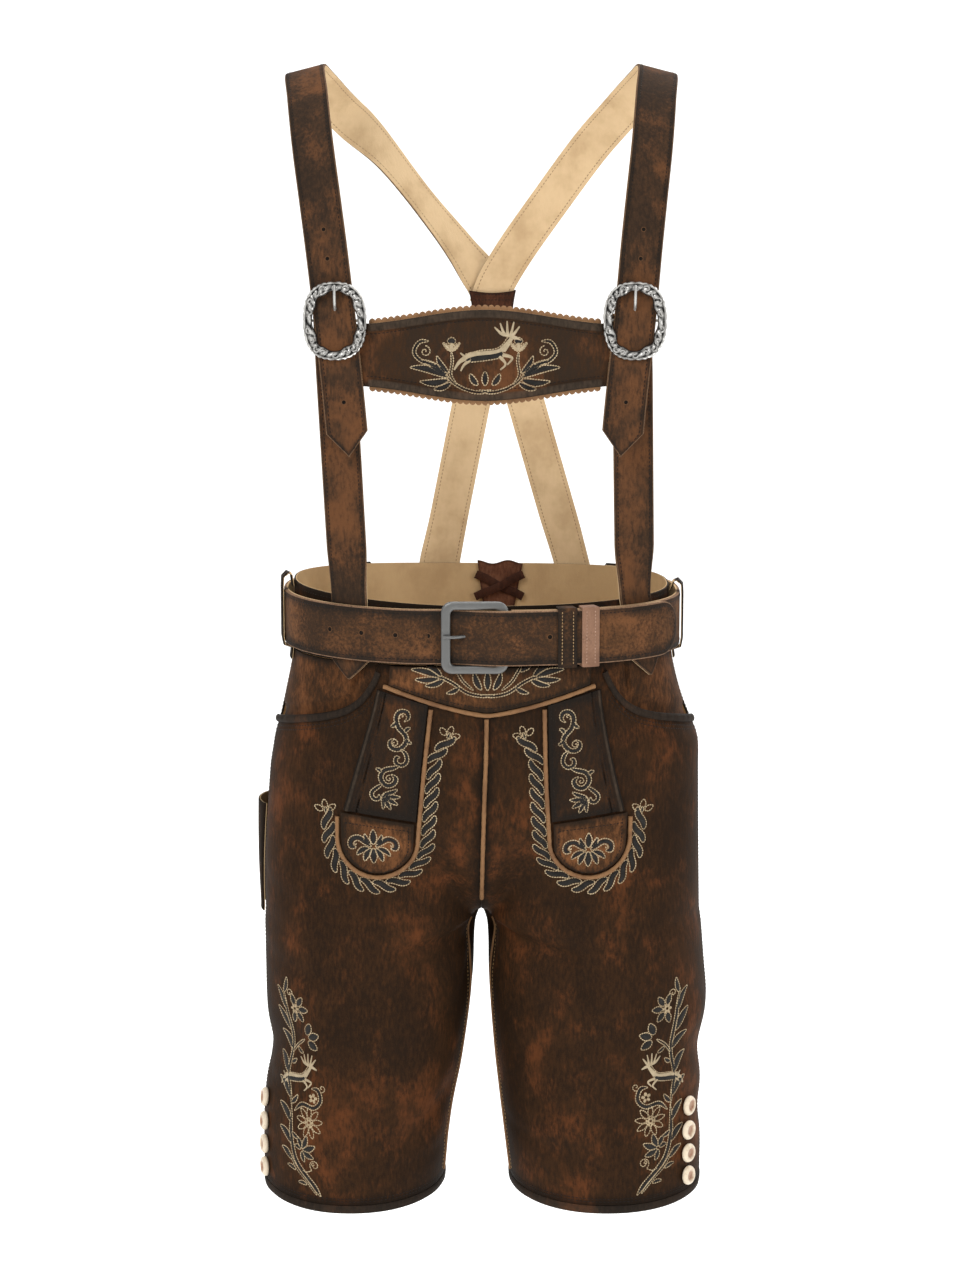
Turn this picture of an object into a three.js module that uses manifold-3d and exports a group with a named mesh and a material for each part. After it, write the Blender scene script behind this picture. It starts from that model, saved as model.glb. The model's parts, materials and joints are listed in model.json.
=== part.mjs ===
// Folk trousers: knee-length leather breeches with a drop flap, belt and H-braces, filled out
// as worn but empty. Millimetres, +Z up, front towards -Y. The origin is the centre of the
// wearer's waist at the middle of the belt. "right" and "left" are the wearer's.
import * as THREE from 'three';
import Module from 'manifold-3d';

// ---- driving dimensions -----------------------------------------------------------------
const LEATHER = 2;            // wall of a panel
const SEAM = 0.3;             // gap between neighbouring pieces
const ON_PANEL = 0.95;        // underside of a piece sewn onto a panel, above its true surface
const WAIST_SEAM_Z = -22;     // waistband meets the panels
const RISE_TOP_Z = -150;      // the two legs begin to part below this height
const CROTCH_Z = -247;
const HEM = { side: -474, frontDrop: 4.5, backDrop: 2, boundHeight: 7, boundThick: 3 };
const BELT = { low: -20, high: 24, thick: 3.5, offset: 4.6 };
const STRAP = { width: 32.5, rearWidth: 33, thick: 3, tipLength: 17 };
const HOLE = { radius: 1.7, sides: 8 };       // punched holes of the belt and the braces
const BUTTON = { radius: 8.2, thick: 5, firstZ: -404, pitch: 19.5,
  x: { right: 176, left: 174.5 }, seat: { right: 0.3, left: 0.87 } };
const MOUTH = { start: { right: 0.2, left: 0.228 }, drop: 36, turn: 0.09, slope: 24, behind: 22 };
const COLUMNS = { front: 15, back: 12 };
const ROWS = { top: 4, rise: 6, leg: 10 };

// Outer half section of the body of the trousers at each height.
const TORSO = [
  { z: 34, halfWidth: 154.5, front: 106, back: 106 },
  { z: 0, halfWidth: 154.5, front: 106.5, back: 107.5 },
  { z: -30, halfWidth: 157, front: 107, back: 109.5 },
  { z: -62, halfWidth: 164, front: 107, back: 115 },
  { z: -82, halfWidth: 170, front: 107, back: 119 },
  { z: -100, halfWidth: 176, front: 106.5, back: 124 },
  { z: -150, halfWidth: 179.5, front: 105, back: 126 },
  { z: -200, halfWidth: 181, front: 103, back: 124 },
  { z: -247, halfWidth: 182.5, front: 100, back: 119 },
];

// Outer section of one leg at each height: its centre, half width and half depth.
const LEG = [
  { z: -247, midX: 91.4, midY: 8, halfWidth: 91.2, halfDepth: 104 },
  { z: -262, midX: 94.5, midY: 7.5, halfWidth: 89.5, halfDepth: 103 },
  { z: -306, midX: 95.8, midY: 4, halfWidth: 89, halfDepth: 99 },
  { z: -370, midX: 98.5, midY: 0, halfWidth: 85, halfDepth: 93 },
  { z: -420, midX: 103.2, midY: -4, halfWidth: 82, halfDepth: 89 },
  { z: -470, midX: 106, midY: -7, halfWidth: 79, halfDepth: 85 },
  { z: -490, midX: 106.5, midY: -8, halfWidth: 77, halfDepth: 83 },
];

// How far the cloth wanders sideways: along its front centre line, its back one and its sides.
const SWAY = [
  { z: 34, front: 0, back: 16, sides: -0.5 },
  { z: -20, front: 2.5, back: 14, sides: -0.5 },
  { z: -60, front: 3.5, back: 10, sides: 0.5 },
  { z: -99, front: 3, back: 5, sides: 3.5 },
  { z: -125, front: 2, back: 2, sides: 2 },
  { z: -200, front: 0, back: 0, sides: 0 },
  { z: -247, front: -0.5, back: -0.5, sides: 0.5 },
  { z: -300, front: -0.8, back: -0.8, sides: 2.5 },
  { z: -380, front: -3, back: -3, sides: 2 },
  { z: -420, front: -4.6, back: -4.6, sides: 0.5 },
  { z: -490, front: -4, back: -4, sides: 0 },
];

// The largest creases. around: 0 front seam or inseam, 0.5 side seam, 1 back seam or inseam.
const FOLDS = [
  { side: -1, from: 0.02, fromZ: -256, to: 0.17, toZ: -278, width: 13, depth: 4.5 },
  { side: -1, from: 0.03, fromZ: -275, to: 0.1, toZ: -325, width: 13, depth: 2.5 },
  { side: -1, from: 0.5, fromZ: -366, to: 0.37, toZ: -342, width: 18, depth: 4.5 },
  { side: -1, from: 0.22, fromZ: -330, to: 0.3, toZ: -430, width: 20, depth: -3 },
  { side: -1, from: 0.08, fromZ: -395, to: 0.16, toZ: -425, width: 16, depth: 2.5 },
  { side: 1, from: 0.02, fromZ: -255, to: 0.2, toZ: -268, width: 13, depth: 4.5 },
  { side: 1, from: 0.03, fromZ: -268, to: 0.13, toZ: -318, width: 13, depth: 2.5 },
  { side: 1, from: 0.5, fromZ: -322, to: 0.4, toZ: -330, width: 22, depth: -2.5 },
  { side: 1, from: 0.5, fromZ: -368, to: 0.36, toZ: -350, width: 18, depth: 3 },
  { side: 1, from: 0.24, fromZ: -300, to: 0.2, toZ: -410, width: 20, depth: -3 },
  { side: 1, from: 0.5, fromZ: -420, to: 0.4, toZ: -402, width: 16, depth: 2.5 },
  { side: -1, from: 0.98, fromZ: -252, to: 0.82, toZ: -276, width: 14, depth: 5 },
  { side: -1, from: 0.97, fromZ: -290, to: 0.86, toZ: -322, width: 15, depth: 3.5 },
  { side: -1, from: 0.62, fromZ: -372, to: 0.8, toZ: -392, width: 17, depth: 3.5 },
  { side: -1, from: 0.66, fromZ: -215, to: 0.78, toZ: -246, width: 18, depth: 3 },
  { side: 1, from: 0.98, fromZ: -250, to: 0.8, toZ: -268, width: 14, depth: 5 },
  { side: 1, from: 0.97, fromZ: -284, to: 0.85, toZ: -330, width: 15, depth: 3.5 },
  { side: 1, from: 0.6, fromZ: -385, to: 0.78, toZ: -372, width: 17, depth: 3.5 },
  { side: 1, from: 0.64, fromZ: -208, to: 0.8, toZ: -236, width: 18, depth: 3 },
];
const FOLD_AROUND = 560;      // mm of cloth round one side, for measuring folds

// ---- small maths ------------------------------------------------------------------------
const vec = (x, y, z) => new THREE.Vector3(x, y, z);
const { lerp, clamp, smoothstep } = THREE.MathUtils;

// Smooth reading of a table with named columns, keyed by falling z.
function read(table, z) {
  const last = table.length - 1;
  const height = clamp(z, table[last].z, table[0].z);
  let k = 0;
  while (k < last - 1 && table[k + 1].z > height) k += 1;
  const slope = (i, name) => {
    const a = table[Math.max(i - 1, 0)];
    const b = table[Math.min(i + 1, last)];
    return (b[name] - a[name]) / (b.z - a.z);
  };
  const [upper, lower] = [table[k], table[k + 1]];
  const span = lower.z - upper.z;
  const t = (height - upper.z) / span;
  const row = {};
  for (const name of Object.keys(upper)) {
    const rise = lower[name] - upper[name];
    const first = slope(k, name) * span;
    const second = slope(k + 1, name) * span;
    const bend = (first - rise) * (1 - t) - (second - rise) * t;
    row[name] = upper[name] + rise * t + t * (1 - t) * bend;
  }
  return row;
}

// A quarter of a rounded oval from (0, depth) to (width, 0), read by its share of arc length.
const ARC_STEPS = 40;
const quarterStore = new Map();
function quarter(width, depth, roundness) {
  const key = `${width.toFixed(3)} ${depth.toFixed(3)} ${roundness}`;
  if (quarterStore.has(key)) return quarterStore.get(key);
  const points = [];
  const lengths = [0];
  for (let i = 0; i <= ARC_STEPS; i += 1) {
    const angle = (i / ARC_STEPS) * Math.PI / 2;
    const x = width * Math.sin(angle) ** (2 / roundness);
    const y = depth * Math.max(Math.cos(angle), 0) ** (2 / roundness);
    points.push([x, y]);
    if (i) lengths.push(lengths[i - 1] + Math.hypot(x - points[i - 1][0], y - points[i - 1][1]));
  }
  const at = (share) => {
    const wanted = clamp(share, 0, 1) * lengths[ARC_STEPS];
    let i = 0;
    while (i < ARC_STEPS - 1 && lengths[i + 1] < wanted) i += 1;
    const t = (wanted - lengths[i]) / (lengths[i + 1] - lengths[i]);
    return points[i].map((value, axis) => lerp(value, points[i + 1][axis], t));
  };
  quarterStore.set(key, at);
  return at;
}

// ---- the shape of the filled-out trousers -------------------------------------------------
// Every panel is read from one surface: side -1 or 1, around 0 to 1, height z.
const TORSO_ROUND = 2.4;
const LEG_ROUND = 2.2;

function torsoPoint(around, z) {
  const row = read(TORSO, z);
  if (around <= 0.5) {
    const [x, y] = quarter(row.halfWidth, row.front, TORSO_ROUND)(around * 2);
    return [x, -y];
  }
  return quarter(row.halfWidth, row.back, TORSO_ROUND)((1 - around) * 2);
}

function legPoint(around, z) {
  const row = read(LEG, z);
  const fromFront = around <= 0.5 ? around - 0.25 : 0.75 - around;
  const [x, y] = quarter(row.halfWidth, row.halfDepth, LEG_ROUND)(Math.abs(fromFront) * 4);
  return [row.midX + Math.sign(fromFront) * x, row.midY + (around <= 0.5 ? -y : y)];
}

// 0 on the body, 1 on the leg. Close to the crotch seam the cloth runs under in a round bend.
function legShare(around, z) {
  const t = clamp((RISE_TOP_Z - z) / (RISE_TOP_Z - CROTCH_Z), 0, 1);
  const seamDistance = Math.min(around, 1 - around);
  return lerp(1 - Math.sqrt(1 - t * t), smoothstep(t, 0, 1), smoothstep(seamDistance, 0, 0.14));
}

function plainSurface(side, around, z) {
  const share = legShare(around, z);
  const [tx, ty] = torsoPoint(around, z);
  const [lx, ly] = legPoint(around, z);
  const x = Math.max(lerp(tx, lx, share), SEAM / 2);
  const y = lerp(ty, ly, share);
  const sway = read(SWAY, z);
  const middle = lerp(sway.front, sway.back, smoothstep(y, 0, 100));
  return vec(side * x + lerp(middle, sway.sides, Math.min(x / 175, 1) ** 2), y, z);
}

function outward(side, around, z) {
  const a = clamp(around, 0.002, 0.998);
  const stepZ = 1.5;
  const across = plainSurface(side, a + 0.002, z).sub(plainSurface(side, a - 0.002, z));
  const down = plainSurface(side, a, z - stepZ).sub(plainSurface(side, a, z + stepZ));
  return down.cross(across).multiplyScalar(side).normalize();
}

function foldLift(side, around, z) {
  let lift = 0;
  for (const fold of FOLDS) {
    if (fold.side !== side) continue;
    const run = vec((fold.to - fold.from) * FOLD_AROUND, fold.toZ - fold.fromZ, 0);
    const here = vec((around - fold.from) * FOLD_AROUND, z - fold.fromZ, 0);
    const along = clamp(here.dot(run) / run.lengthSq(), 0, 1);
    const distance = here.sub(run.multiplyScalar(along)).length() / fold.width;
    lift -= fold.depth * Math.exp(-distance * distance);
  }
  return lift;
}

// A point of the surface, moved out by lift along the cloth's own outward direction.
function skin(side, around, z, lift = 0) {
  const seamFade = smoothstep(Math.min(around, 1 - around), 0, 0.03);
  const moved = lift + foldLift(side, around, z) * seamFade;
  const point = plainSurface(side, around, z).addScaledVector(outward(side, around, z), moved);
  const middle = read(SWAY, z);
  const centre = lerp(middle.front, middle.back, smoothstep(point.y, 0, 100));
  if ((point.x - centre) * side < SEAM / 2) point.x = centre + side * SEAM / 2;
  return point;
}

// The point of the front at a given x, found by halving, and its outward direction.
function frontAt(x, z, lift = 0) {
  const side = x < read(SWAY, z).front ? -1 : 1;
  let [low, high] = [0, 0.5];
  for (let i = 0; i < 22; i += 1) {
    const middle = (low + high) / 2;
    if (skin(side, middle, z, 0).x * side < x * side) low = middle;
    else high = middle;
  }
  return skin(side, low, z, lift);
}

// ---- mesh builders --------------------------------------------------------------------------
const model = new THREE.Group();
const wasm = await Module();
wasm.setup();

const FINISH = {
  hide: { color: 0x5a3820, roughness: 0.75 },
  hideDark: { color: 0x35291f, roughness: 0.7 },
  piping: { color: 0xa8744a, roughness: 0.8 },
  lace: { color: 0x4a2a1a, roughness: 0.8 },
  silver: { color: 0x9a9a98, roughness: 0.35, metalness: 1 },
  pewter: { color: 0x6f7273, roughness: 0.4, metalness: 1 },
  horn: { color: 0xdccbaa, roughness: 0.45 },
};

function shapeOf(points, faces) {
  let volume = 0;
  for (const [a, b, c] of faces) {
    volume += points[a].dot(points[b].clone().cross(points[c]));
  }
  const order = volume < 0 ? faces.map(([a, b, c]) => [a, c, b]) : faces;
  const geometry = new THREE.BufferGeometry();
  const places = points.flatMap((point) => point.toArray());
  geometry.setAttribute('position', new THREE.Float32BufferAttribute(places, 3));
  geometry.setIndex(order.flat());
  return geometry;
}

function add(name, geometry, finish) {
  geometry.computeVertexNormals();
  const material = new THREE.MeshStandardMaterial(FINISH[finish]);
  const mesh = new THREE.Mesh(geometry, material);
  mesh.name = name;
  model.add(mesh);
  return mesh;
}

// Connects closed loops of points, one after another, and closes the two ends or the ring.
function sweep(loops, ring = false) {
  const size = loops[0].length;
  const faces = [];
  const count = ring ? loops.length : loops.length - 1;
  for (let k = 0; k < count; k += 1) {
    const next = (k + 1) % loops.length;
    for (let i = 0; i < size; i += 1) {
      const j = (i + 1) % size;
      const [a, b, c, d] = [k * size + i, k * size + j, next * size + j, next * size + i];
      faces.push([a, b, c], [a, c, d]);
    }
  }
  if (!ring) {
    const end = (loops.length - 1) * size;
    for (let i = 0; i < size / 2 - 1; i += 1) {
      const j = size - 1 - i;
      faces.push([i, j, j - 1], [i, j - 1, i + 1]);
      faces.push([end + i, end + j - 1, end + j], [end + i, end + i + 1, end + j - 1]);
    }
  }
  return shapeOf(loops.flat(), faces);
}

// A wall: place(p, q, lift) gives a point for the shares p and q of its two directions.
function wall(place, columns, rows, low, high) {
  const grid = [];
  for (let j = 0; j <= rows; j += 1) {
    const outer = [];
    const inner = [];
    for (let i = 0; i <= columns; i += 1) {
      outer.push(place(i / columns, j / rows, high));
      inner.push(place(i / columns, j / rows, low));
    }
    grid.push([...outer, ...inner.reverse()]);
  }
  return sweep(grid);
}

const join = (first, second) => combine(first, second, 'add');
const cutOut = (first, second) => combine(first, second, 'subtract');
function combine(first, second, way) {
  const [a, b] = [first, second].map((geometry) => {
    const vertProperties = new Float32Array(geometry.getAttribute('position').array);
    const triVerts = new Uint32Array(geometry.getIndex().array);
    return new wasm.Manifold(new wasm.Mesh({ numProp: 3, vertProperties, triVerts }));
  });
  const { vertProperties, triVerts } = a[way](b).getMesh();
  const geometry = new THREE.BufferGeometry();
  geometry.setAttribute('position', new THREE.BufferAttribute(vertProperties, 3));
  geometry.setIndex(new THREE.BufferAttribute(triVerts, 1));
  return geometry;
}

// The pin that punches a round hole between two points.
function punch(from, to) {
  const axis = to.clone().sub(from).normalize();
  const aside = vec(0.31, 0.17, 0.93);          // any direction off the axis of every hole
  const across = aside.cross(axis).normalize();
  const third = axis.clone().cross(across);
  const loop = (centre) => Array.from({ length: HOLE.sides }, (_, i) => {
    const angle = (i / HOLE.sides) * 2 * Math.PI;
    return centre.clone()
      .addScaledVector(across, HOLE.radius * Math.cos(angle))
      .addScaledVector(third, HOLE.radius * Math.sin(angle));
  });
  return sweep([loop(from), loop(to)]);
}

// A mesh whose shared corners are merged, ready to be cut or joined.
function merged(geometry) {
  const places = geometry.getAttribute('position');
  const index = geometry.getIndex();
  const seen = new Map();
  const points = [];
  const faces = [];
  const order = index ? Array.from(index.array) : Array.from({ length: places.count }, (_, i) => i);
  const names = order.map((i) => {
    const point = vec(places.getX(i), places.getY(i), places.getZ(i));
    const key = point.toArray().map((value) => value.toFixed(4)).join(' ');
    if (!seen.has(key)) {
      seen.set(key, points.length);
      points.push(point);
    }
    return seen.get(key);
  });
  for (let i = 0; i < names.length; i += 3) {
    const face = names.slice(i, i + 3);
    if (new Set(face).size === 3) faces.push(face);
  }
  return shapeOf(points, faces);
}

const SIDES = [{ side: -1, word: 'right' }, { side: 1, word: 'left' }];

// ---- the four panels ------------------------------------------------------------------------
const edge = SEAM / 2 / FOLD_AROUND;

function mouthZ(word, around) {
  const start = MOUTH.start[word];
  const t = (around - start) / (0.5 - start);
  if (t <= 0) return WAIST_SEAM_Z;
  return WAIST_SEAM_Z - MOUTH.drop * (1 - Math.exp(-t / MOUTH.turn)) - MOUTH.slope * t;
}

function hemZ(around) {
  const bulge = Math.sin(2 * Math.PI * (around % 0.5)) ** 2;
  return HEM.side - (around <= 0.5 ? HEM.frontDrop : HEM.backDrop) * bulge;
}

// Heights of a panel's rows: even above and below, closer where the cloth runs under.
function rowZ(j, top, around) {
  if (j <= ROWS.top) return lerp(top, RISE_TOP_Z, j / ROWS.top);
  if (j <= ROWS.top + ROWS.rise) {
    const angle = ((j - ROWS.top) / ROWS.rise) * Math.PI / 2;
    return RISE_TOP_Z - (RISE_TOP_Z - CROTCH_Z) * Math.sin(angle);
  }
  return lerp(CROTCH_Z, hemZ(around), (j - ROWS.top - ROWS.rise) / ROWS.leg);
}

const ROW_COUNT = ROWS.top + ROWS.rise + ROWS.leg;

// Columns of a front panel crowd at the steep end of the pocket mouth.
function frontAround(word, p) {
  const start = MOUTH.start[word];
  return p < 1 / 3 ? lerp(edge, start, p * 3) : lerp(start, 0.5 - edge, ((p * 3 - 1) / 2) ** 1.35);
}

for (const { side, word } of SIDES) {
  const front = (p, q, lift) => {
    const around = frontAround(word, p);
    const top = mouthZ(word, around) - SEAM / 2;
    return skin(side, around, rowZ(Math.round(q * ROW_COUNT), top, around), lift);
  };
  add(`front_${word}`, wall(front, COLUMNS.front, ROW_COUNT, -LEATHER, 0), 'hide');

  const back = (p, q, lift) => {
    const around = lerp(0.5 + edge, 1 - edge, p);
    const top = WAIST_SEAM_Z - SEAM / 2;
    return skin(side, around, rowZ(Math.round(q * ROW_COUNT), top, around), lift);
  };
  add(`back_${word}`, wall(back, COLUMNS.back, ROW_COUNT, -LEATHER, 0), 'hide');

  // Hip piece: shows above the pocket mouth and runs down behind the front panel.
  const hip = (p, q, lift) => {
    const around = lerp(MOUTH.start[word] - 0.015, 0.5 - edge, p);
    const mouth = mouthZ(word, around);
    const z = lerp(WAIST_SEAM_Z - SEAM / 2, mouth - MOUTH.behind, q);
    const share = around < MOUTH.start[word] + 0.05 ? 1 : 1 - smoothstep(z - mouth, 4, 14);
    const sunk = (LEATHER + 1.4) * share;
    return skin(side, around, z, lift - sunk);
  };
  add(`hip_piece_${word}`, wall(hip, 10, 5, -1.5, 0), 'hide');

  // Rolled lip along the pocket mouth.
  const lip = [];
  for (let k = 0; k <= 16; k += 1) {
    const around = lerp(MOUTH.start[word] + 0.004, 0.5 - 3 * edge, (k / 16) ** 1.3);
    const z = mouthZ(word, around);
    const ahead = 0.004;
    const fall = (mouthZ(word, around + ahead) - z) / (ahead * FOLD_AROUND);
    const below = vec(fall, -1, 0).normalize();
    const at = (depth, lift) => skin(side, around + (below.x * depth) / FOLD_AROUND,
      z + below.y * depth, lift);
    lip.push([at(0.8, 0.9), at(0.6, 2), at(2.4, 3.1), at(4.6, 2.9), at(6.4, 1.9), at(6.8, 0.9)]);
  }
  add(`pocket_lip_${word}`, sweep(lip), 'hideDark');

  // Bound hem: a soft rectangle of leather all round the lower edge.
  const hem = [];
  for (let k = 0; k < 28; k += 1) {
    const around = (k + 0.5) / 28;
    const z = hemZ(around) - SEAM;
    const at = (drop, lift) => {
      const point = skin(side, around, hemZ(around) + 1, lift);
      point.z = z - drop;
      return point;
    };
    const [thick, tall] = [HEM.boundThick, HEM.boundHeight];
    const inner = 0.6 - thick;
    hem.push([at(0, inner), at(0, 0), at(1.5, 0.6), at(tall - 1, 0.5), at(tall, inner / 2),
      at(tall - 1, inner)]);
  }
  add(`hem_binding_${word}`, sweep(hem, true), 'hideDark');
}

// ---- waistband, back gusset and its lacing ---------------------------------------------------
function bandTop(side, around) {
  const sideways = Math.sin(Math.PI * around) ** 2;
  return lerp(around < 0.5 ? 26 : 29, side < 0 ? 34.5 : 29.5, sideways);
}
const SPLIT = { top: 15, bottom: 3 };          // half width of the split in the back waistband
const BACK_ARC = 200;                            // mm round one back quarter of the waist

const frontBand = (p, q, lift) => {
  const side = p < 0.5 ? -1 : 1;
  const around = Math.min(Math.abs(2 * p - 1) / 2, 0.5 - edge);
  return skin(side, around, lerp(WAIST_SEAM_Z + SEAM / 2, bandTop(side, around), q), lift);
};
add('waistband_front', wall(frontBand, 23, 1, -LEATHER, 0), 'hide');
for (const { side, word } of SIDES) {
  const back = (p, q, lift) => {
    const split = lerp(SPLIT.bottom, SPLIT.top, q) / BACK_ARC / 2;
    const around = lerp(0.5 + edge, 1 - split, p);
    return skin(side, around, lerp(WAIST_SEAM_Z + SEAM / 2, bandTop(side, around), q), lift);
  };
  add(`waistband_back_${word}`, wall(back, 12, 1, -LEATHER, 0), 'hide');
}

// The back of the waist at a sideways distance from its centre line, inside the band.
function backWaist(x, z, lift) {
  const side = x < 0 ? -1 : 1;
  return skin(side, 1 - Math.abs(x) / BACK_ARC / 2, z, lift);
}
const GUSSET = { halfTop: 18.5, halfBottom: 11, top: 30.5, bottom: -19, inset: LEATHER + 0.4 };
const gusset = (p, q, lift) => {
  const half = lerp(GUSSET.halfBottom, GUSSET.halfTop, q);
  const raise = q === 1 ? 1.5 * Math.cos(Math.PI * p * 3) : 0;
  return backWaist(lerp(-half, half, p), lerp(GUSSET.bottom, GUSSET.top, q) + raise, lift);
};
add('back_gusset', wall(gusset, 6, 3, -GUSSET.inset - 1.6, -GUSSET.inset), 'lace');

const LACE = { width: 6.5, thick: 1.4, reach: 19.5, low: 0, high: 20, slant: 2.4 };
for (const [turn, name] of [[1, 'back_lace_under'], [-1, 'back_lace_over']]) {
  const stations = [];
  for (let k = 0; k <= 8; k += 1) {
    const t = k / 8;
    const over = turn < 0 ? (LACE.thick + 0.5) * Math.sin(Math.PI * t) ** 0.5 : 0;
    const base = -GUSSET.inset - 2 - over;
    const x = lerp(-LACE.reach, LACE.reach, t) * turn;
    const z = lerp(LACE.high, LACE.low, t);
    const half = LACE.width / 2;
    const at = (up, lift) => backWaist(x + (up * turn) / LACE.slant, z + up, lift);
    stations.push([at(-half, base - LACE.thick), at(half, base - LACE.thick), at(half, base),
      at(-half, base)]);
  }
  add(name, sweep(stations), 'lace');
}

// ---- front flap -----------------------------------------------------------------------------
// Places on the flap are given as a distance from its own centre line, mirrored on each side.
const FLAP_SHIFT = [
  { z: -22, x: 7 },
  { z: -60, x: 4.5 },
  { z: -120, x: 2 },
  { z: -210, x: 1 },
];
const flapX = (side, x, z) => side * x + read(FLAP_SHIFT, z).x;

const BIB = { top: -23, half: 83, cornerZ: -39, pointZ: -61 };
const bibEdgeZ = (x) => {
  const share = clamp(Math.abs(x) / BIB.half, 0, 1);
  return lerp(BIB.pointZ, BIB.cornerZ, share ** 1.35);
};
const RIDGE = [
  { z: -22, x: 84 },
  { z: -60, x: 90 },
  { z: -105, x: 101 },
  { z: -143, x: 111 },
];
const PIPE_LINE = [
  { z: -54, x: 45 },
  { z: -121, x: 49.5 },
  { z: -168, x: 53 },
];
const TAB = { seamIn: -151, seamOut: -144, round: 32.5, midX: 85.5, midZ: -166, endZ: -149 };

const bib = (p, q, lift) => {
  const x = lerp(-BIB.half + 3, BIB.half - 3, p);
  const z = lerp(BIB.top, bibEdgeZ(x) + 1.2, q);
  return frontAt(x + read(FLAP_SHIFT, z).x, z, lift);
};
add('flap_bib', wall(bib, 16, 2, ON_PANEL, ON_PANEL + 1.6), 'hide');

const BEAD = { wide: 3.4, tall: 2.2, base: ON_PANEL + 0.15 };
// A half-round bead that lies on the front along a list of { x, z } places.
function bead(places) {
  const spots = places.map(({ x, z }) => frontAt(x, z, BEAD.base));
  const loops = places.map(({ x, z }, i) => {
    const out = frontAt(x, z, BEAD.base + 1).sub(spots[i]).normalize();
    const before = spots[Math.max(i - 1, 0)];
    const after = spots[Math.min(i + 1, spots.length - 1)];
    const across = after.clone().sub(before).cross(out).normalize();
    const at = (aside, up) => spots[i].clone()
      .addScaledVector(across, aside * BEAD.wide / 2)
      .addScaledVector(out, up * BEAD.tall);
    return [at(-1, 0), at(-0.9, 0.55), at(-0.4, 1), at(0.4, 1), at(0.9, 0.55), at(1, 0)];
  });
  return sweep(loops);
}

const bibEdge = Array.from({ length: 21 }, (_, k) => {
  const x = lerp(-BIB.half - 1, BIB.half + 1, k / 20);
  const z = bibEdgeZ(x) - 1.2;
  return { x: x + read(FLAP_SHIFT, z).x, z };
});
add('flap_bib_piping', bead(bibEdge), 'piping');

const centreLine = Array.from({ length: 16 }, (_, k) => {
  const z = lerp(BIB.pointZ - 4, -222, k / 15);
  return { x: read(SWAY, z).front + 0.02, z };
});
add('centre_front_piping', bead(centreLine), 'piping');

// Columns of the strip: even over its middle, then the rolled ridge along its outer edge.
const STRIP_COLUMNS = [0, 0.22, 0.44, 0.66, 0.88, 0.92, 0.97, 1];
const STRIP = { innerX: 48, outerX: 82.5, underBib: 3.6, overTab: 0.8, raised: 1.7 };
for (const { side, word } of SIDES) {
  // The embroidered strip between the piping and its raised dark outer edge.
  const strip = (p, q, lift) => {
    const share = STRIP_COLUMNS[Math.round(p * (STRIP_COLUMNS.length - 1))];
    const zIn = lerp(bibEdgeZ(STRIP.innerX) - STRIP.underBib, TAB.seamIn + STRIP.overTab, q);
    const zOut = lerp(bibEdgeZ(STRIP.outerX) - STRIP.underBib, TAB.seamOut + STRIP.overTab, q);
    const z = lerp(zIn, zOut, share);
    const x = lerp(read(PIPE_LINE, z).x + 2.6, read(RIDGE, z).x + 2, share);
    const raised = lift > ON_PANEL && share > 0.9 && share < 1 ? STRIP.raised : 0;
    return frontAt(flapX(side, x, z), z, lift + raised);
  };
  const columns = STRIP_COLUMNS.length - 1;
  add(`flap_strip_${word}`, wall(strip, columns, 9, ON_PANEL, ON_PANEL + 1.4), 'hideDark');

  // The rounded tab that ends the strip.
  const tab = (p, q, lift) => {
    const turn = lerp(0, Math.PI / 2, q ** 0.75);
    const half = Math.max((TAB.round - 2.6) * Math.cos(turn), 5);
    const top = lerp(TAB.seamIn, TAB.seamOut, p) - 1;
    const z = q === 0 ? top : TAB.midZ - (TAB.round - 4) * Math.sin(turn);
    const x = TAB.midX + lerp(-half, half, p);
    return frontAt(flapX(side, x, z), z, lift);
  };
  add(`flap_tab_${word}`, wall(tab, 7, 7, ON_PANEL + 0.3, ON_PANEL + 1.7), 'hide');

  // Tan piping: down the inner edge, round the tab and up to its outer corner.
  const route = [];
  for (let k = 0; k < 9; k += 1) {
    const z = lerp(-57.5, TAB.midZ, k / 9);
    route.push({ x: flapX(side, read(PIPE_LINE, z).x, z), z });
  }
  for (let k = 0; k <= 12; k += 1) {
    const turn = (k / 12) * Math.PI;
    const z = TAB.midZ - TAB.round * Math.sin(turn);
    route.push({ x: flapX(side, TAB.midX - TAB.round * Math.cos(turn), z), z });
  }
  route.push({ x: flapX(side, TAB.midX + TAB.round, TAB.endZ), z: TAB.endZ });
  add(`flap_piping_${word}`, bead(route), 'piping');
}

// ---- horn buttons and the knife pocket --------------------------------------------------------
const buttonProfile = [
  [0, 0], [0.75, 0], [1, 0.4], [0.75, 1], [0.5, 0.85], [0, 0.8],
].map(([r, h]) => new THREE.Vector2(r * BUTTON.radius, h * BUTTON.thick));

for (const { side, word } of SIDES) {
  for (let k = 0; k < 4; k += 1) {
    const z = BUTTON.firstZ - BUTTON.pitch * k;
    const x = side * BUTTON.x[word] + read(SWAY, z).front;
    const seat = frontAt(x, z, BUTTON.seat[word]);
    const out = frontAt(x, z, BUTTON.seat[word] + 1).sub(seat).normalize();
    const mesh = add(`button_${word}_${k + 1}`, new THREE.LatheGeometry(buttonProfile, 10), 'horn');
    mesh.quaternion.setFromUnitVectors(vec(0, 1, 0), out);
    mesh.position.copy(seat);
  }
}

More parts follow.
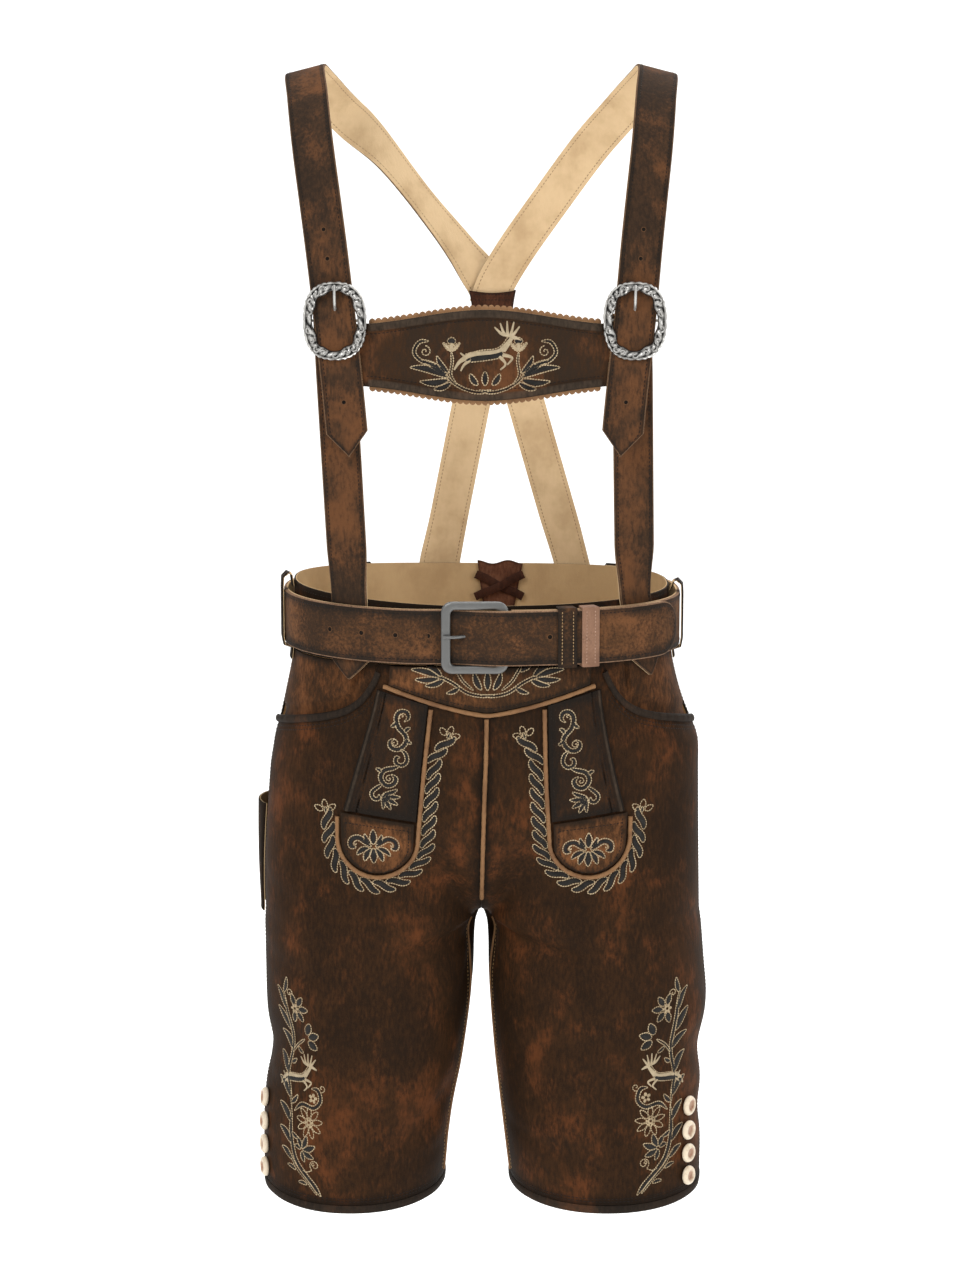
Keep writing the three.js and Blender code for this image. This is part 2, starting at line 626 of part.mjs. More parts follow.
const KNIFE = { from: 0.485, to: 0.59, top: -157, bottom: -251, proud: 7.5 };
const knife = (p, q, lift) => {
  const around = lerp(KNIFE.from, KNIFE.to, p) - 0.012 * Math.sin(Math.PI * q) * (2 * p - 1);
  const z = lerp(KNIFE.top, KNIFE.bottom, q);
  const bulge = KNIFE.proud * Math.sin(Math.PI * p) ** 0.6 * (1 - 0.55 * q);
  return skin(-1, around, z, lift + bulge);
};
add('knife_pocket', wall(knife, 7, 5, 0.7, 2.4), 'hide');

// ---- belt -------------------------------------------------------------------------------------
// Places round the belt are given by x on the front, or by around on the sides and back.
const WAIST = { z: -14, around: 425 };   // around: mm of waist on one side
const waistAround = (side, around, z, lift) => {
  const point = skin(side, around, WAIST.z, lift);
  point.z = z + (side < 0 ? 3 : 0) * Math.sin(Math.PI * around) ** 4;
  return point;
};
function aroundOf(x) {
  const side = x < read(SWAY, WAIST.z).front ? -1 : 1;
  let [low, high] = [0, 0.5];
  for (let i = 0; i < 20; i += 1) {
    const middle = (low + high) / 2;
    if (skin(side, middle, WAIST.z).x * side < x * side) low = middle;
    else high = middle;
  }
  return side * low;
}

const FRAME = { left: -32.5, right: 21, low: -27, high: 31, wide: 7.5, thick: 4, base: 5.6 };
// Distance of the free end from the waistband: behind one bar, over the other, on the under end.
const FREE_END = [
  { at: -0.5, lift: BELT.offset },
  { at: aroundOf(-60), lift: BELT.offset },
  { at: aroundOf(-28), lift: 1.7 },
  { at: aroundOf(17), lift: 10.1 },
  { at: aroundOf(48), lift: BELT.offset + BELT.thick + 0.5 },
  { at: 0.5, lift: BELT.offset + BELT.thick + 0.5 },
];
function freeLift(place) {
  let k = 0;
  while (k < FREE_END.length - 2 && FREE_END[k + 1].at < place) k += 1;
  const [a, b] = [FREE_END[k], FREE_END[k + 1]];
  return lerp(a.lift, b.lift, smoothstep(place, a.at, b.at));
}
// The free end from one signed place to another, minus on the right and plus on the left, with
// a rounded tip.
const FREE_STEPS = 52;
const TIP = { x: 147, radius: 20, blunt: 0.4, around: 400 };
const tipPlace = aroundOf(TIP.x);
function freeBelt(from, to) {
  const loops = [];
  const middle = (BELT.low + BELT.high) / 2;
  for (let k = 0; k <= FREE_STEPS; k += 1) {
    const t = k / FREE_STEPS;
    const place = lerp(from, to, t);
    const [side, around] = [place < 0 ? -1 : 1, Math.abs(place)];
    const left = clamp((1 - t) * (to + 0.5) * TIP.around, TIP.blunt, TIP.radius);
    const half = (BELT.high - middle) * Math.sqrt(1 - (1 - left / TIP.radius) ** 2);
    const [low, high] = [freeLift(place), freeLift(place) + BELT.thick];
    const at = (up, lift) => waistAround(side, around, middle + up * half, lift);
    loops.push([at(-1, low), at(-1, high), at(1, high), at(1, low)]);
  }
  return sweep(loops);
}

const BELT_HOLES = { z: 3, at: [-117, -93, -67, -42, 52] };
let beltFront = freeBelt(-0.5 + edge, tipPlace);
for (const x of BELT_HOLES.at) {
  const place = aroundOf(x);
  const [side, around, lift] = [Math.sign(place), Math.abs(place), freeLift(place)];
  beltFront = cutOut(beltFront, punch(waistAround(side, around, BELT_HOLES.z, lift - 2),
    waistAround(side, around, BELT_HOLES.z, lift + BELT.thick + 2.5)));
}
const PRONG_Z = 3;
const prongHole = frontAt(-14, PRONG_Z);
const prongCutter = new THREE.BoxGeometry(13, 16, 4.2);
prongCutter.deleteAttribute('normal');
prongCutter.deleteAttribute('uv');
prongCutter.translate(prongHole.x + 2, prongHole.y - 6, PRONG_Z);
beltFront = cutOut(beltFront, merged(prongCutter));
add('belt_front', beltFront, 'hide');

// The rest starts at the buckle, under the free end, and runs round the back to the right side.
const rearBelt = [];
const buckleEnd = aroundOf(23);
const REAR_STEPS = 56;
for (let k = 0; k <= REAR_STEPS; k += 1) {
  const t = lerp(buckleEnd, 1.5 - edge, k / REAR_STEPS);
  const [side, around] = t < 1 ? [1, t] : [-1, 2 - t];
  const [low, high] = [BELT.offset, BELT.offset + BELT.thick];
  const at = (z, lift) => waistAround(side, around, z, lift);
  rearBelt.push([at(BELT.low, low), at(BELT.low, high), at(BELT.high, high),
    at(BELT.high, low)]);
}
add('belt_rear', sweep(rearBelt), 'hide');

// Belt buckle: a rounded rectangular frame, its plane square to the front.
const frontY = frontAt(-6, 2, 0).y;
function roundedRectangle(path, x0, x1, y0, y1, radius) {
  path.moveTo(x0 + radius, y0);
  path.lineTo(x1 - radius, y0);
  path.absarc(x1 - radius, y0 + radius, radius, -Math.PI / 2, 0, false);
  path.lineTo(x1, y1 - radius);
  path.absarc(x1 - radius, y1 - radius, radius, 0, Math.PI / 2, false);
  path.lineTo(x0 + radius, y1);
  path.absarc(x0 + radius, y1 - radius, radius, Math.PI / 2, Math.PI, false);
  path.lineTo(x0, y0 + radius);
  path.absarc(x0 + radius, y0 + radius, radius, Math.PI, 1.5 * Math.PI, false);
  return path;
}
const frameShape = roundedRectangle(new THREE.Shape(), FRAME.left, FRAME.right, FRAME.low,
  FRAME.high, 9);
frameShape.holes.push(roundedRectangle(new THREE.Path(), FRAME.left + FRAME.wide,
  FRAME.right - FRAME.wide, FRAME.low + 6.5, FRAME.high - 6.5, 4));
const bevel = 0.8;
const frameSolid = new THREE.ExtrudeGeometry(frameShape, {
  depth: FRAME.thick - 2 * bevel, bevelEnabled: true, bevelThickness: bevel, bevelSize: bevel,
  bevelOffset: -bevel, bevelSegments: 1, curveSegments: 3,
});
const frameMesh = add('belt_buckle', merged(frameSolid), 'pewter');
frameMesh.rotation.x = Math.PI / 2;
frameMesh.position.set(0, frontY - FRAME.base - bevel, 0);

// Its prong: behind the free end, out through the hole and over the far bar.
const PRONG = [
  { x: 12.6, out: 6.6 },
  { x: 4, out: 5 },
  { x: -6, out: 3.4 },
  { x: -12, out: 5.4 },
  { x: -17, out: 9 },
  { x: -23, out: 11.6 },
  { x: -31, out: 11.4 },
];
const prongLoops = PRONG.map(({ x, out }, k) => {
  const half = k === PRONG.length - 1 ? 0.8 : 1.3;
  const at = (back, up) => vec(x, frontY - out + back * half, PRONG_Z + up * half);
  return [at(1, -1), at(-1, -1), at(-1, 1), at(1, 1)];
});
add('belt_prong', sweep(prongLoops), 'pewter');

// Two keepers slide on both thicknesses of the belt.
const KEEPERS = [
  { name: 'belt_keeper_stitched', from: 58, to: 72 },
  { name: 'belt_keeper_plain', from: 76, to: 88.5 },
];
const KEEPER = { layer: 1.5, inner: BELT.offset - 0.3, outer: BELT.offset + 2 * BELT.thick + 1,
  low: BELT.low - 0.5, high: BELT.high + 0.5 };
for (const { name, from, to } of KEEPERS) {
  const section = (x, layer) => {
    const [inner, outer] = [KEEPER.inner - layer, KEEPER.outer + layer];
    const [low, high] = [KEEPER.low - layer, KEEPER.high + layer];
    const at = (z, lift) => waistAround(1, aroundOf(x), z, lift);
    return [at(low, inner), at(low, outer), at(high, outer), at(high, inner)];
  };
  const places = [from, (from + to) / 2, to];
  const outside = places.map((x) => section(x, KEEPER.layer));
  const [first, middle, last] = places.map((x) => section(x, 0));
  const past = (loop) => loop.map((point, i) => point.clone().lerp(middle[i], -0.5));
  add(name, cutOut(sweep(outside), sweep([past(first), middle, past(last)])), 'hide');
}

// Belt loops: strips sewn on above and below that stand over the belt.
const LOOPS = [
  { name: 'belt_loop_side_right', side: -1, around: 0.455, wide: 14, proud: 8.4, drop: 0 },
  { name: 'belt_loop_side_left', side: 1, around: 0.468, wide: 14, proud: 8.6, drop: 4 },
  { name: 'belt_loop_back_right', side: -1, around: 0.74, wide: 14, proud: 8.2, drop: 7 },
  { name: 'belt_loop_back_left', side: 1, around: 0.76, wide: 14, proud: 8.2, drop: 8 },
];
const LOOP_LINE = [
  { z: -31, out: 0 }, { z: -24.5, out: 0 }, { z: -22, out: 0.85 }, { z: -15, out: 1 },
  { z: 6, out: 1 }, { z: 26, out: 1 }, { z: 34, out: 0.95 }, { z: 38, out: 0.5 },
  { z: 36.5, out: 0.12 }, { z: 29.5, out: 0 },
];
for (const { name, side, around, wide, proud, drop } of LOOPS) {
  const half = wide / 2 / WAIST.around;
  const loops = LOOP_LINE.map(({ z, out }) => {
    const lift = ON_PANEL + out * proud;
    const place = out ? waistAround : skin;
    const height = z > 0 ? z - drop : z;
    const inward = z > 36 ? -0.8 : 0;
    const at = (aside, more) => place(side, around + aside * half, height + (more ? 0 : inward),
      lift + more);
    return [at(-1, 0), at(-1, 1.6), at(1, 1.6), at(1, 0)];
  });
  add(name, sweep(loops), 'hide');
}

// ---- braces -------------------------------------------------------------------------------------
// A flat strap with a pointed tip at its first station. Stations { x, y, z, nx, ny, nz } are its
// places and the way its outside faces there.
const STRAP_STEPS = 46;
function strap(stations) {
  const path = new THREE.CatmullRomCurve3(stations.map(({ x, y, z }) => vec(x, y, z)), false,
    'catmullrom', 0.5);
  const facing = new THREE.CatmullRomCurve3(stations.map(({ nx, ny, nz }) => vec(nx, ny, nz)),
    false, 'catmullrom', 0.5);
  const total = path.getLength();
  const loops = [];
  for (let k = 0; k <= STRAP_STEPS; k += 1) {
    const t = k / STRAP_STEPS;
    const spot = path.getPoint(t);
    const along = path.getTangent(t);
    const out = facing.getPoint(t);
    out.addScaledVector(along, -out.dot(along)).normalize();
    const across = along.clone().cross(out);
    const half = (STRAP.width / 2) * clamp((t * total) / STRAP.tipLength, 0.04, 1);
    const at = (aside, up) => spot.clone()
      .addScaledVector(across, aside * half)
      .addScaledVector(out, up * STRAP.thick);
    loops.push([at(-1, 0), at(-1, 1), at(1, 1), at(1, 0)]);
  }
  return sweep(loops);
}

const CROSS = { x: 9, y: 116, z: 262 };
// How far the pair of straps hangs to one side, at the shoulders and at the buckles.
const BRACE_SHIFT = { top: -0.5, low: 2.2 };
const SHOULDER_Z = 443;
const BUCKLE_Z = 253;
const braceShift = (z) =>
  lerp(BRACE_SHIFT.low, BRACE_SHIFT.top, clamp((z - BUCKLE_Z) / (SHOULDER_Z - BUCKLE_Z), 0, 1));

// Upper brace from its tip, through the buckle and over the shoulder, right side. The left one
// mirrors it down to the shoulder blades and has its own last stations.
const UPPER = [
  { x: 105.8, y: -122.6, z: 147, nx: 0, ny: -1, nz: 0 },
  { x: 110.5, y: -123.5, z: 200, nx: 0, ny: -1, nz: 0 },
  { x: 116, y: -123.5, z: 253, nx: 0, ny: -1, nz: 0 },
  { x: 121.4, y: -117, z: 305, nx: 0.05, ny: -1, nz: 0.12 },
  { x: 126.2, y: -106, z: 344, nx: 0.1, ny: -1, nz: 0.3 },
  { x: 132, y: -86, z: 386, nx: 0.14, ny: -1, nz: 0.6 },
  { x: 137, y: -52, z: 424, nx: 0.2, ny: -0.75, nz: 0.9 },
  { x: 140.5, y: -8, z: 443, nx: 0.25, ny: 0, nz: 1 },
  { x: 133, y: 32, z: 434, nx: 0.25, ny: 0.6, nz: 0.9 },
  { x: 113, y: 62, z: 410, nx: 0.3, ny: 1, nz: 0.55 },
];
const UPPER_BACK = {
  right: [
    { x: -83, y: 88, z: 381.5, nx: -1.8, ny: 1, nz: 0.1 },
    { x: -44, y: 106, z: 332, nx: -2.3, ny: 1, nz: 0 },
    { x: -18, y: 119, z: 298, nx: -1.2, ny: 1, nz: 0 },
    { x: 1.5, y: 119.9, z: 270, nx: -0.05, ny: 1, nz: 0 },
    { x: 11, y: 119.5, z: 248, nx: 0, ny: 1, nz: 0 },
  ],
  left: [
    { x: 88.5, y: 88, z: 380.5, nx: 0.2, ny: 1, nz: 0.3 },
    { x: 53.5, y: 104, z: 332, nx: 0.1, ny: 1, nz: 0.1 },
    { x: 28.5, y: 112, z: 296, nx: 0, ny: 1, nz: 0 },
    { x: 12, y: 116, z: 268, nx: 0, ny: 1, nz: 0 },
    { x: 5, y: 116, z: 248, nx: 0, ny: 1, nz: 0 },
  ],
};
const HOLES_UP = [300, 322, 190];

// Brace buckle: a cast rounded-square ring with a sunk middle bar.
const RING = { roundness: 2.5, halfX: 24.3, halfZ: 30, band: 8, thick: 4.2, gap: 0.65, bar: 1.2 };
function ringSolid() {
  const loops = [];
  const steps = 24;
  for (let k = 0; k < steps; k += 1) {
    const angle = (k / steps) * 2 * Math.PI;
    const [c, s] = [Math.cos(angle), Math.sin(angle)];
    const square = (value) => Math.sign(value) * Math.abs(value) ** (2 / RING.roundness);
    const spot = vec(square(c) * RING.halfX, 0, square(s) * RING.halfZ);
    const out = vec(c, 0, s);
    const at = (share, up) => spot.clone()
      .addScaledVector(out, (share - 1) * RING.band)
      .add(vec(0, -up * RING.thick, 0));
    loops.push([at(0, 0), at(0, 0.6), at(0.3, 1), at(0.7, 1), at(1, 0.6), at(1, 0)]);
  }
  return sweep(loops, true);
}
const sunk = STRAP.thick + RING.gap + RING.bar + 0.35;
const barLoops = [[-21.6, -1], [-18.6, sunk], [18.6, sunk], [21.6, -1]].map(([x, y]) => {
  const r = RING.bar;
  return [vec(x, y - r, -r), vec(x, y - r, r), vec(x, y + r, r), vec(x, y + r, -r)];
});
const buckleShape = join(ringSolid(), sweep(barLoops));

for (const { side, word } of SIDES) {
  const mirror = ({ x, y, z, nx, ny, nz }) => ({ x: side * x + braceShift(z), y, z,
    nx: side * nx, ny, nz });
  const front = UPPER.map(mirror);
  let brace = strap([...front, ...UPPER_BACK[word]]);
  const spotAt = (z) => {
    const k = front.findIndex((station) => station.z > z);
    const [a, b] = [front[k - 1], front[k]];
    const t = (z - a.z) / (b.z - a.z);
    return vec(lerp(a.x, b.x, t), lerp(a.y, b.y, t), z);
  };
  for (const z of HOLES_UP) {
    const spot = spotAt(z);
    brace = cutOut(brace, punch(spot.clone().add(vec(0, 6, 0)), spot.add(vec(0, -10, 0))));
  }
  const buckle = vec(side * UPPER[2].x + BRACE_SHIFT.low, UPPER[2].y - STRAP.thick - RING.gap,
    BUCKLE_Z);
  const slot = new THREE.BoxGeometry(3.6, 14, 12);
  slot.translate(buckle.x, buckle.y + 2, buckle.z + 9.5);
  brace = cutOut(brace, merged(slot));
  add(`brace_upper_${word}`, brace, 'hide');

  const ring = add(`brace_buckle_${word}`, buckleShape.clone(), 'silver');
  ring.position.copy(buckle);
  const prong = [[4.2, sunk - 0.6], [8, 2.6], [13, -2.4], [20, -5.6], [28, -5.9]].map(([z, y], k) => {
    const half = k === 4 ? 0.7 : 1.1;
    return [vec(-half, y - half, z), vec(half, y - half, z), vec(half, y + half, z),
      vec(-half, y + half, z)];
  });
  const prongMesh = add(`brace_prong_${word}`, sweep(prong), 'silver');
  prongMesh.position.copy(buckle);
}

// Lower straps, front and back: flat above the waist, bent round it behind the belt, and cut to
// a point below. foot: x of the point, waist: x at the waistband, top: where the strap ends.
const LOWER = [
  { name: 'brace_lower_right', back: false, foot: -104.5, waist: -104.5, top: [-115.5, -116.4, 258] },
  { name: 'brace_lower_left', back: false, foot: 132, waist: 123.5, top: [115.8, -116.4, 258] },
  { name: 'brace_rear_right', back: true, foot: -40.5, waist: -31.5, top: [4.8, 116, 236] },
  { name: 'brace_rear_left', back: true, foot: 81, waist: 75.5, top: [17.5, 119.4, 236] },
];
const LOWER_ROWS = [-36, -29, -21, -8, 4, 16, 30, 42, 56, 75, 100, 130, 160, 190, 215, 240];
for (const { name, back, foot, waist, top } of LOWER) {
  const beltTop = 30;
  const aroundAt = (x, z) =>
    (back ? 1 - Math.abs(x - read(SWAY, z).back) / BACK_ARC / 2 : Math.abs(aroundOf(x)));
  const bent = (aside, z, lift) => {
    const x = z < beltTop ? lerp(foot, waist, (z - LOWER_ROWS[0]) / (beltTop - LOWER_ROWS[0]))
      : lerp(waist, top[0], (z - beltTop) / (top[2] - beltTop));
    const side = back && Math.abs(x) < 17 ? Math.sign(waist) : Math.sign(x);
    const turn = back ? -side : side;
    const height = Math.min(z, beltTop);
    const around = aroundAt(x, height) + (turn * aside) / WAIST.around;
    return skin(side, around, height, lift + ON_PANEL).setZ(z);
  };
  const flat = (aside, z, lift) => {
    const start = bent(0, beltTop, 0);
    const t = clamp((z - beltTop) / (top[2] - beltTop), 0, 1);
    const centre = start.clone().lerp(vec(...top), t);
    centre.y = lerp(start.y, top[1], Math.min(t * 1.25, 1));
    const out = back ? 1 : -1;
    return centre.add(vec(aside, out * lift, 0));
  };
  const place = (p, q, lift) => {
    const row = Math.round(q * (LOWER_ROWS.length - 1));
    const z = row === LOWER_ROWS.length - 1 ? top[2] : LOWER_ROWS[row];
    const pointed = row < 2 ? [0.04, 0.5][row] : 1;
    const aside = (p - 0.5) * (back ? STRAP.rearWidth : STRAP.width - 1) * pointed;
    const blend = smoothstep(z, beltTop, 75);
    return bent(aside, z, lift).lerp(flat(aside, z, lift), blend);
  };
  add(name, wall(place, 2, LOWER_ROWS.length - 1, 0, STRAP.thick), 'hide');
}

// The crossing is held between two stitched leather patches.
const PATCH = { halfX: 20, top: 262, bottom: 214, thick: 2 };
for (const [name, y] of [['back_patch_inner', CROSS.y - PATCH.thick - 0.4],
  ['back_patch_outer', CROSS.y + 7.6]]) {
  const patch = (p, q, lift) => {
    const half = PATCH.halfX - 3 * Math.sin(Math.PI * q);
    const sag = 2 * Math.sin(Math.PI * p);
    const z = lerp(PATCH.bottom, PATCH.top, q) + (q > 0.5 ? -sag : sag) * Math.abs(2 * q - 1);
    return vec(CROSS.x + lerp(-half, half, p), y + lift, z);
  };
  add(name, wall(patch, 4, 4, 0, PATCH.thick), 'lace');
}

// Chest bar between the braces, with a rolled edge and a scalloped trim above and below.
const CHEST_BAR = { half: 103, y: -119.9, thick: 2.6, endHalf: 24, midHalf: 35.3, midZ: 226.2 };
const barHalf = (t) => lerp(CHEST_BAR.midHalf, CHEST_BAR.endHalf, smoothstep(Math.abs(t), 0, 1));
const barY = (t) => CHEST_BAR.y - 3 * (1 - t * t);
// Rows of the bar from its lower edge to its upper one: mm in from the edge, and how far raised.
const BAR_ROWS = [
  { inset: 0, raised: -0.6 }, { inset: 1.2, raised: 1.3 }, { inset: 3.2, raised: 2.3 },
  { inset: 5.2, raised: 1.4 }, { inset: 6.6, raised: 0 },
];
const barRows = [...BAR_ROWS.map((row) => ({ ...row, up: -1 })), { inset: 33, raised: 0, up: -1 },
  ...BAR_ROWS.map((row) => ({ ...row, up: 1 })).reverse()];
const BAR_COLUMNS = 14;
const BAR_ROLL = { end: 0.9, full: 0.85 };      // the rolls stop short of the braces
const barShare = (p) => {
  const k = Math.round(p * BAR_COLUMNS) - BAR_COLUMNS / 2;
  const places = [BAR_ROLL.full, BAR_ROLL.end, 1];
  const past = Math.abs(k) - (BAR_COLUMNS / 2 - 2);
  return Math.sign(k) * (past < 0 ? BAR_ROLL.full * Math.abs(k) / (BAR_COLUMNS / 2 - 2) : places[past]);
};
const chest = (p, q, lift) => {
  const t = barShare(p);
  const { inset, raised, up } = barRows[Math.round(q * (barRows.length - 1))];
  const z = CHEST_BAR.midZ + up * Math.max(barHalf(t) - inset, 0);
  const roll = lift && Math.abs(t) < BAR_ROLL.end ? raised : 0;
  return vec(CHEST_BAR.half * t + 2.3, barY(t) - lift - roll, z);
};
add('chest_bar', wall(chest, BAR_COLUMNS, barRows.length - 1, 0, CHEST_BAR.thick), 'hideDark');
const TRIM = { reach: 5.6, depth: 1.6, teeth: 34, half: 90 };
for (const [word, up] of [['upper', 1], ['lower', -1]]) {
  const trim = [];
  for (let k = 0; k <= TRIM.teeth * 2; k += 1) {
    const t = lerp(-TRIM.half, TRIM.half, k / TRIM.teeth / 2) / CHEST_BAR.half;
    const tooth = k % 2 ? TRIM.depth : 0;
    const x = CHEST_BAR.half * t + 2.3;
    const y = barY(t);
    const inner = CHEST_BAR.midZ + up * (barHalf(t) + 0.4);
    const outer = inner + up * (TRIM.reach - 1.6 + tooth);
    trim.push([vec(x, y, inner), vec(x, y - 1.4, inner), vec(x, y - 1.4, outer), vec(x, y, outer)]);
  }
  add(`chest_bar_trim_${word}`, sweep(trim), 'piping');
}

export default model;
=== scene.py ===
# Folk trousers: leather knee breeches with a drop flap, belt and braces, filled out as worn.
# Shapes are worked out in millimetres and made in metres; Z is up and the front faces -Y.
# The origin is the middle of the wearer's waist. Right and left are the wearer's own.
import json
import math

import bpy
import numpy as np
from mathutils.bvhtree import BVHTree
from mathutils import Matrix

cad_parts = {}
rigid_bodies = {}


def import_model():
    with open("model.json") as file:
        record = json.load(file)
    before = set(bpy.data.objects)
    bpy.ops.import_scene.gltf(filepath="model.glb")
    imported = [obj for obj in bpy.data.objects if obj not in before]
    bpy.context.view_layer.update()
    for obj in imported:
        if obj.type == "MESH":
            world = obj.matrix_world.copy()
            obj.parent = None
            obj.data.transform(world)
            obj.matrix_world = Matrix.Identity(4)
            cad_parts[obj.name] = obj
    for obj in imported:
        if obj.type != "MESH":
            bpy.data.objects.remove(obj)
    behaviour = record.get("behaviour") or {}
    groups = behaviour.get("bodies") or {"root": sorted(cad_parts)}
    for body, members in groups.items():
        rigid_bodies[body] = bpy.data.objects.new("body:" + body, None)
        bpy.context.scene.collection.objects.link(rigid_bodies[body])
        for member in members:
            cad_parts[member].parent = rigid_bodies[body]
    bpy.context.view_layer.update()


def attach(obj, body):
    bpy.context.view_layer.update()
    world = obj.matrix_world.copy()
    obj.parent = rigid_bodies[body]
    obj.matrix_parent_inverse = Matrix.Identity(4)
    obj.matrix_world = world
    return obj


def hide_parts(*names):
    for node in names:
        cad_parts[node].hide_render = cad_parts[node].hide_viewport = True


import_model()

# ---- Studio ----
# A white paper sweep far below and well behind, four large soft lamps and an 85 mm lens that
# looks down by ten degrees from a little above the waist.
scene = bpy.context.scene
scene.view_settings.view_transform = "Standard"
camera = bpy.data.objects.new("camera", bpy.data.cameras.new("camera"))
camera.data.lens = 85
camera.data.sensor_width = 36
camera.location = (-0.0016, -2.470, 0.417)
camera.rotation_euler = (math.radians(79.97), 0, 0)
scene.collection.objects.link(camera)
scene.camera = camera

FLOOR_Z, WALL_Y, SWEEP = -0.72, 4.6, 1.6
profile = [(-9.0, FLOOR_Z), (-2.0, FLOOR_Z)]
for k in range(25):
    turn = math.radians(90 * k / 24)
    profile.append((WALL_Y - SWEEP + SWEEP * math.sin(turn), FLOOR_Z + SWEEP * (1 - math.cos(turn))))
profile.append((WALL_Y, 5.0))
paper_points = [(x, y, z) for y, z in profile for x in (-9.0, 9.0)]
paper_faces = [(2 * k, 2 * k + 1, 2 * k + 3, 2 * k + 2) for k in range(len(profile) - 1)]
paper = bpy.data.meshes.new("paper_sweep")
paper.from_pydata(paper_points, [], paper_faces)
paper.polygons.foreach_set("use_smooth", [True] * len(paper.polygons))
sweep_object = bpy.data.objects.new("paper_sweep", paper)
scene.collection.objects.link(sweep_object)
paper_look = bpy.data.materials.new("white_paper")
paper_look.use_nodes = True
for socket, value in {"Base Color": (0.93, 0.93, 0.92, 1), "Roughness": 0.9,
                      "Emission Color": (1, 1, 1, 1), "Emission Strength": 0.42}.items():
    paper_look.node_tree.nodes["Principled BSDF"].inputs[socket].default_value = value
paper.materials.append(paper_look)

for name, place, aim, size, watts in [
        ("key_lamp", (-1.5, -2.3, 2.2), (0, 0, -0.05), 1.3, 70),
        ("fill_lamp", (2.3, -1.9, 0.9), (0, 0, -0.1), 1.6, 26),
        ("top_lamp", (0.2, 0.5, 2.3), (0, 0, 0), 1.6, 34),
        ("back_lamp", (1.4, 1.5, 1.2), (0, 0, -0.1), 1.4, 20)]:
    lamp = bpy.data.lights.new(name, "AREA")
    lamp.size = size
    lamp.energy = watts
    lamp_object = bpy.data.objects.new(name, lamp)
    direction = [aim[i] - place[i] for i in range(3)]
    flat = math.hypot(direction[0], direction[1])
    lamp_object.location = place
    lamp_object.rotation_euler = (math.pi / 2 - math.atan2(-direction[2], flat), 0,
                                  math.atan2(direction[1], direction[0]) - math.pi / 2)
    scene.collection.objects.link(lamp_object)
world = bpy.data.worlds.new("studio")
world.use_nodes = True
world.node_tree.nodes["Background"].inputs["Color"].default_value = (1, 1, 1, 1)
world.node_tree.nodes["Background"].inputs["Strength"].default_value = 0.5
scene.world = world

# ---- Fronts and backs ----
# Four panels of heavy, oiled and rubbed buckskin, joined at the centre, the inseams and the
# sides. Wear has left them rust brown where they stand out and nearly black along the seams.
SEAM = 0.3
RISE_TOP, CROTCH = -150, -247
WAIST_SEAM = -22
HEM = {"side": -474, "front": 4.5, "back": 2}
MOUTH = {"start": {-1: 0.2, 1: 0.228}, "drop": 36, "turn": 0.09, "slope": 24, "behind": 22}
AROUND = 560                    # mm of leather round one side
TORSO_ROUND, LEG_ROUND = 2.4, 2.2
WORD = {-1: "right", 1: "left"}
# Height, half width, depth in front and behind.
TORSO = [(34, 154.5, 106, 106), (0, 154.5, 106.5, 107.5), (-30, 157, 107, 109.5),
         (-62, 164, 107, 115), (-82, 170, 107, 119), (-100, 176, 106.5, 124),
         (-150, 179.5, 105, 126), (-200, 181, 103, 124), (-247, 182.5, 100, 119)]
# Height, middle of the leg sideways and in depth, half width, half depth.
LEG = [(-247, 91.4, 8, 91.2, 104), (-262, 94.5, 7.5, 89.5, 103), (-306, 95.8, 4, 89, 99),
       (-370, 98.5, 0, 85, 93), (-420, 103.2, -4, 82, 89), (-470, 106, -7, 79, 85),
       (-490, 106.5, -8, 77, 83)]
# Height, and how far the front line, the back line and the sides wander to the left.
SWAY = [(34, 0, 16, -0.5), (-20, 2.5, 14, -0.5), (-60, 3.5, 10, 0.5), (-99, 3, 5, 3.5),
        (-125, 2, 2, 2), (-200, 0, 0, 0), (-247, -0.5, -0.5, 0.5), (-300, -0.8, -0.8, 2.5),
        (-380, -3, -3, 2), (-420, -4.6, -4.6, 0.5), (-490, -4, -4, 0)]
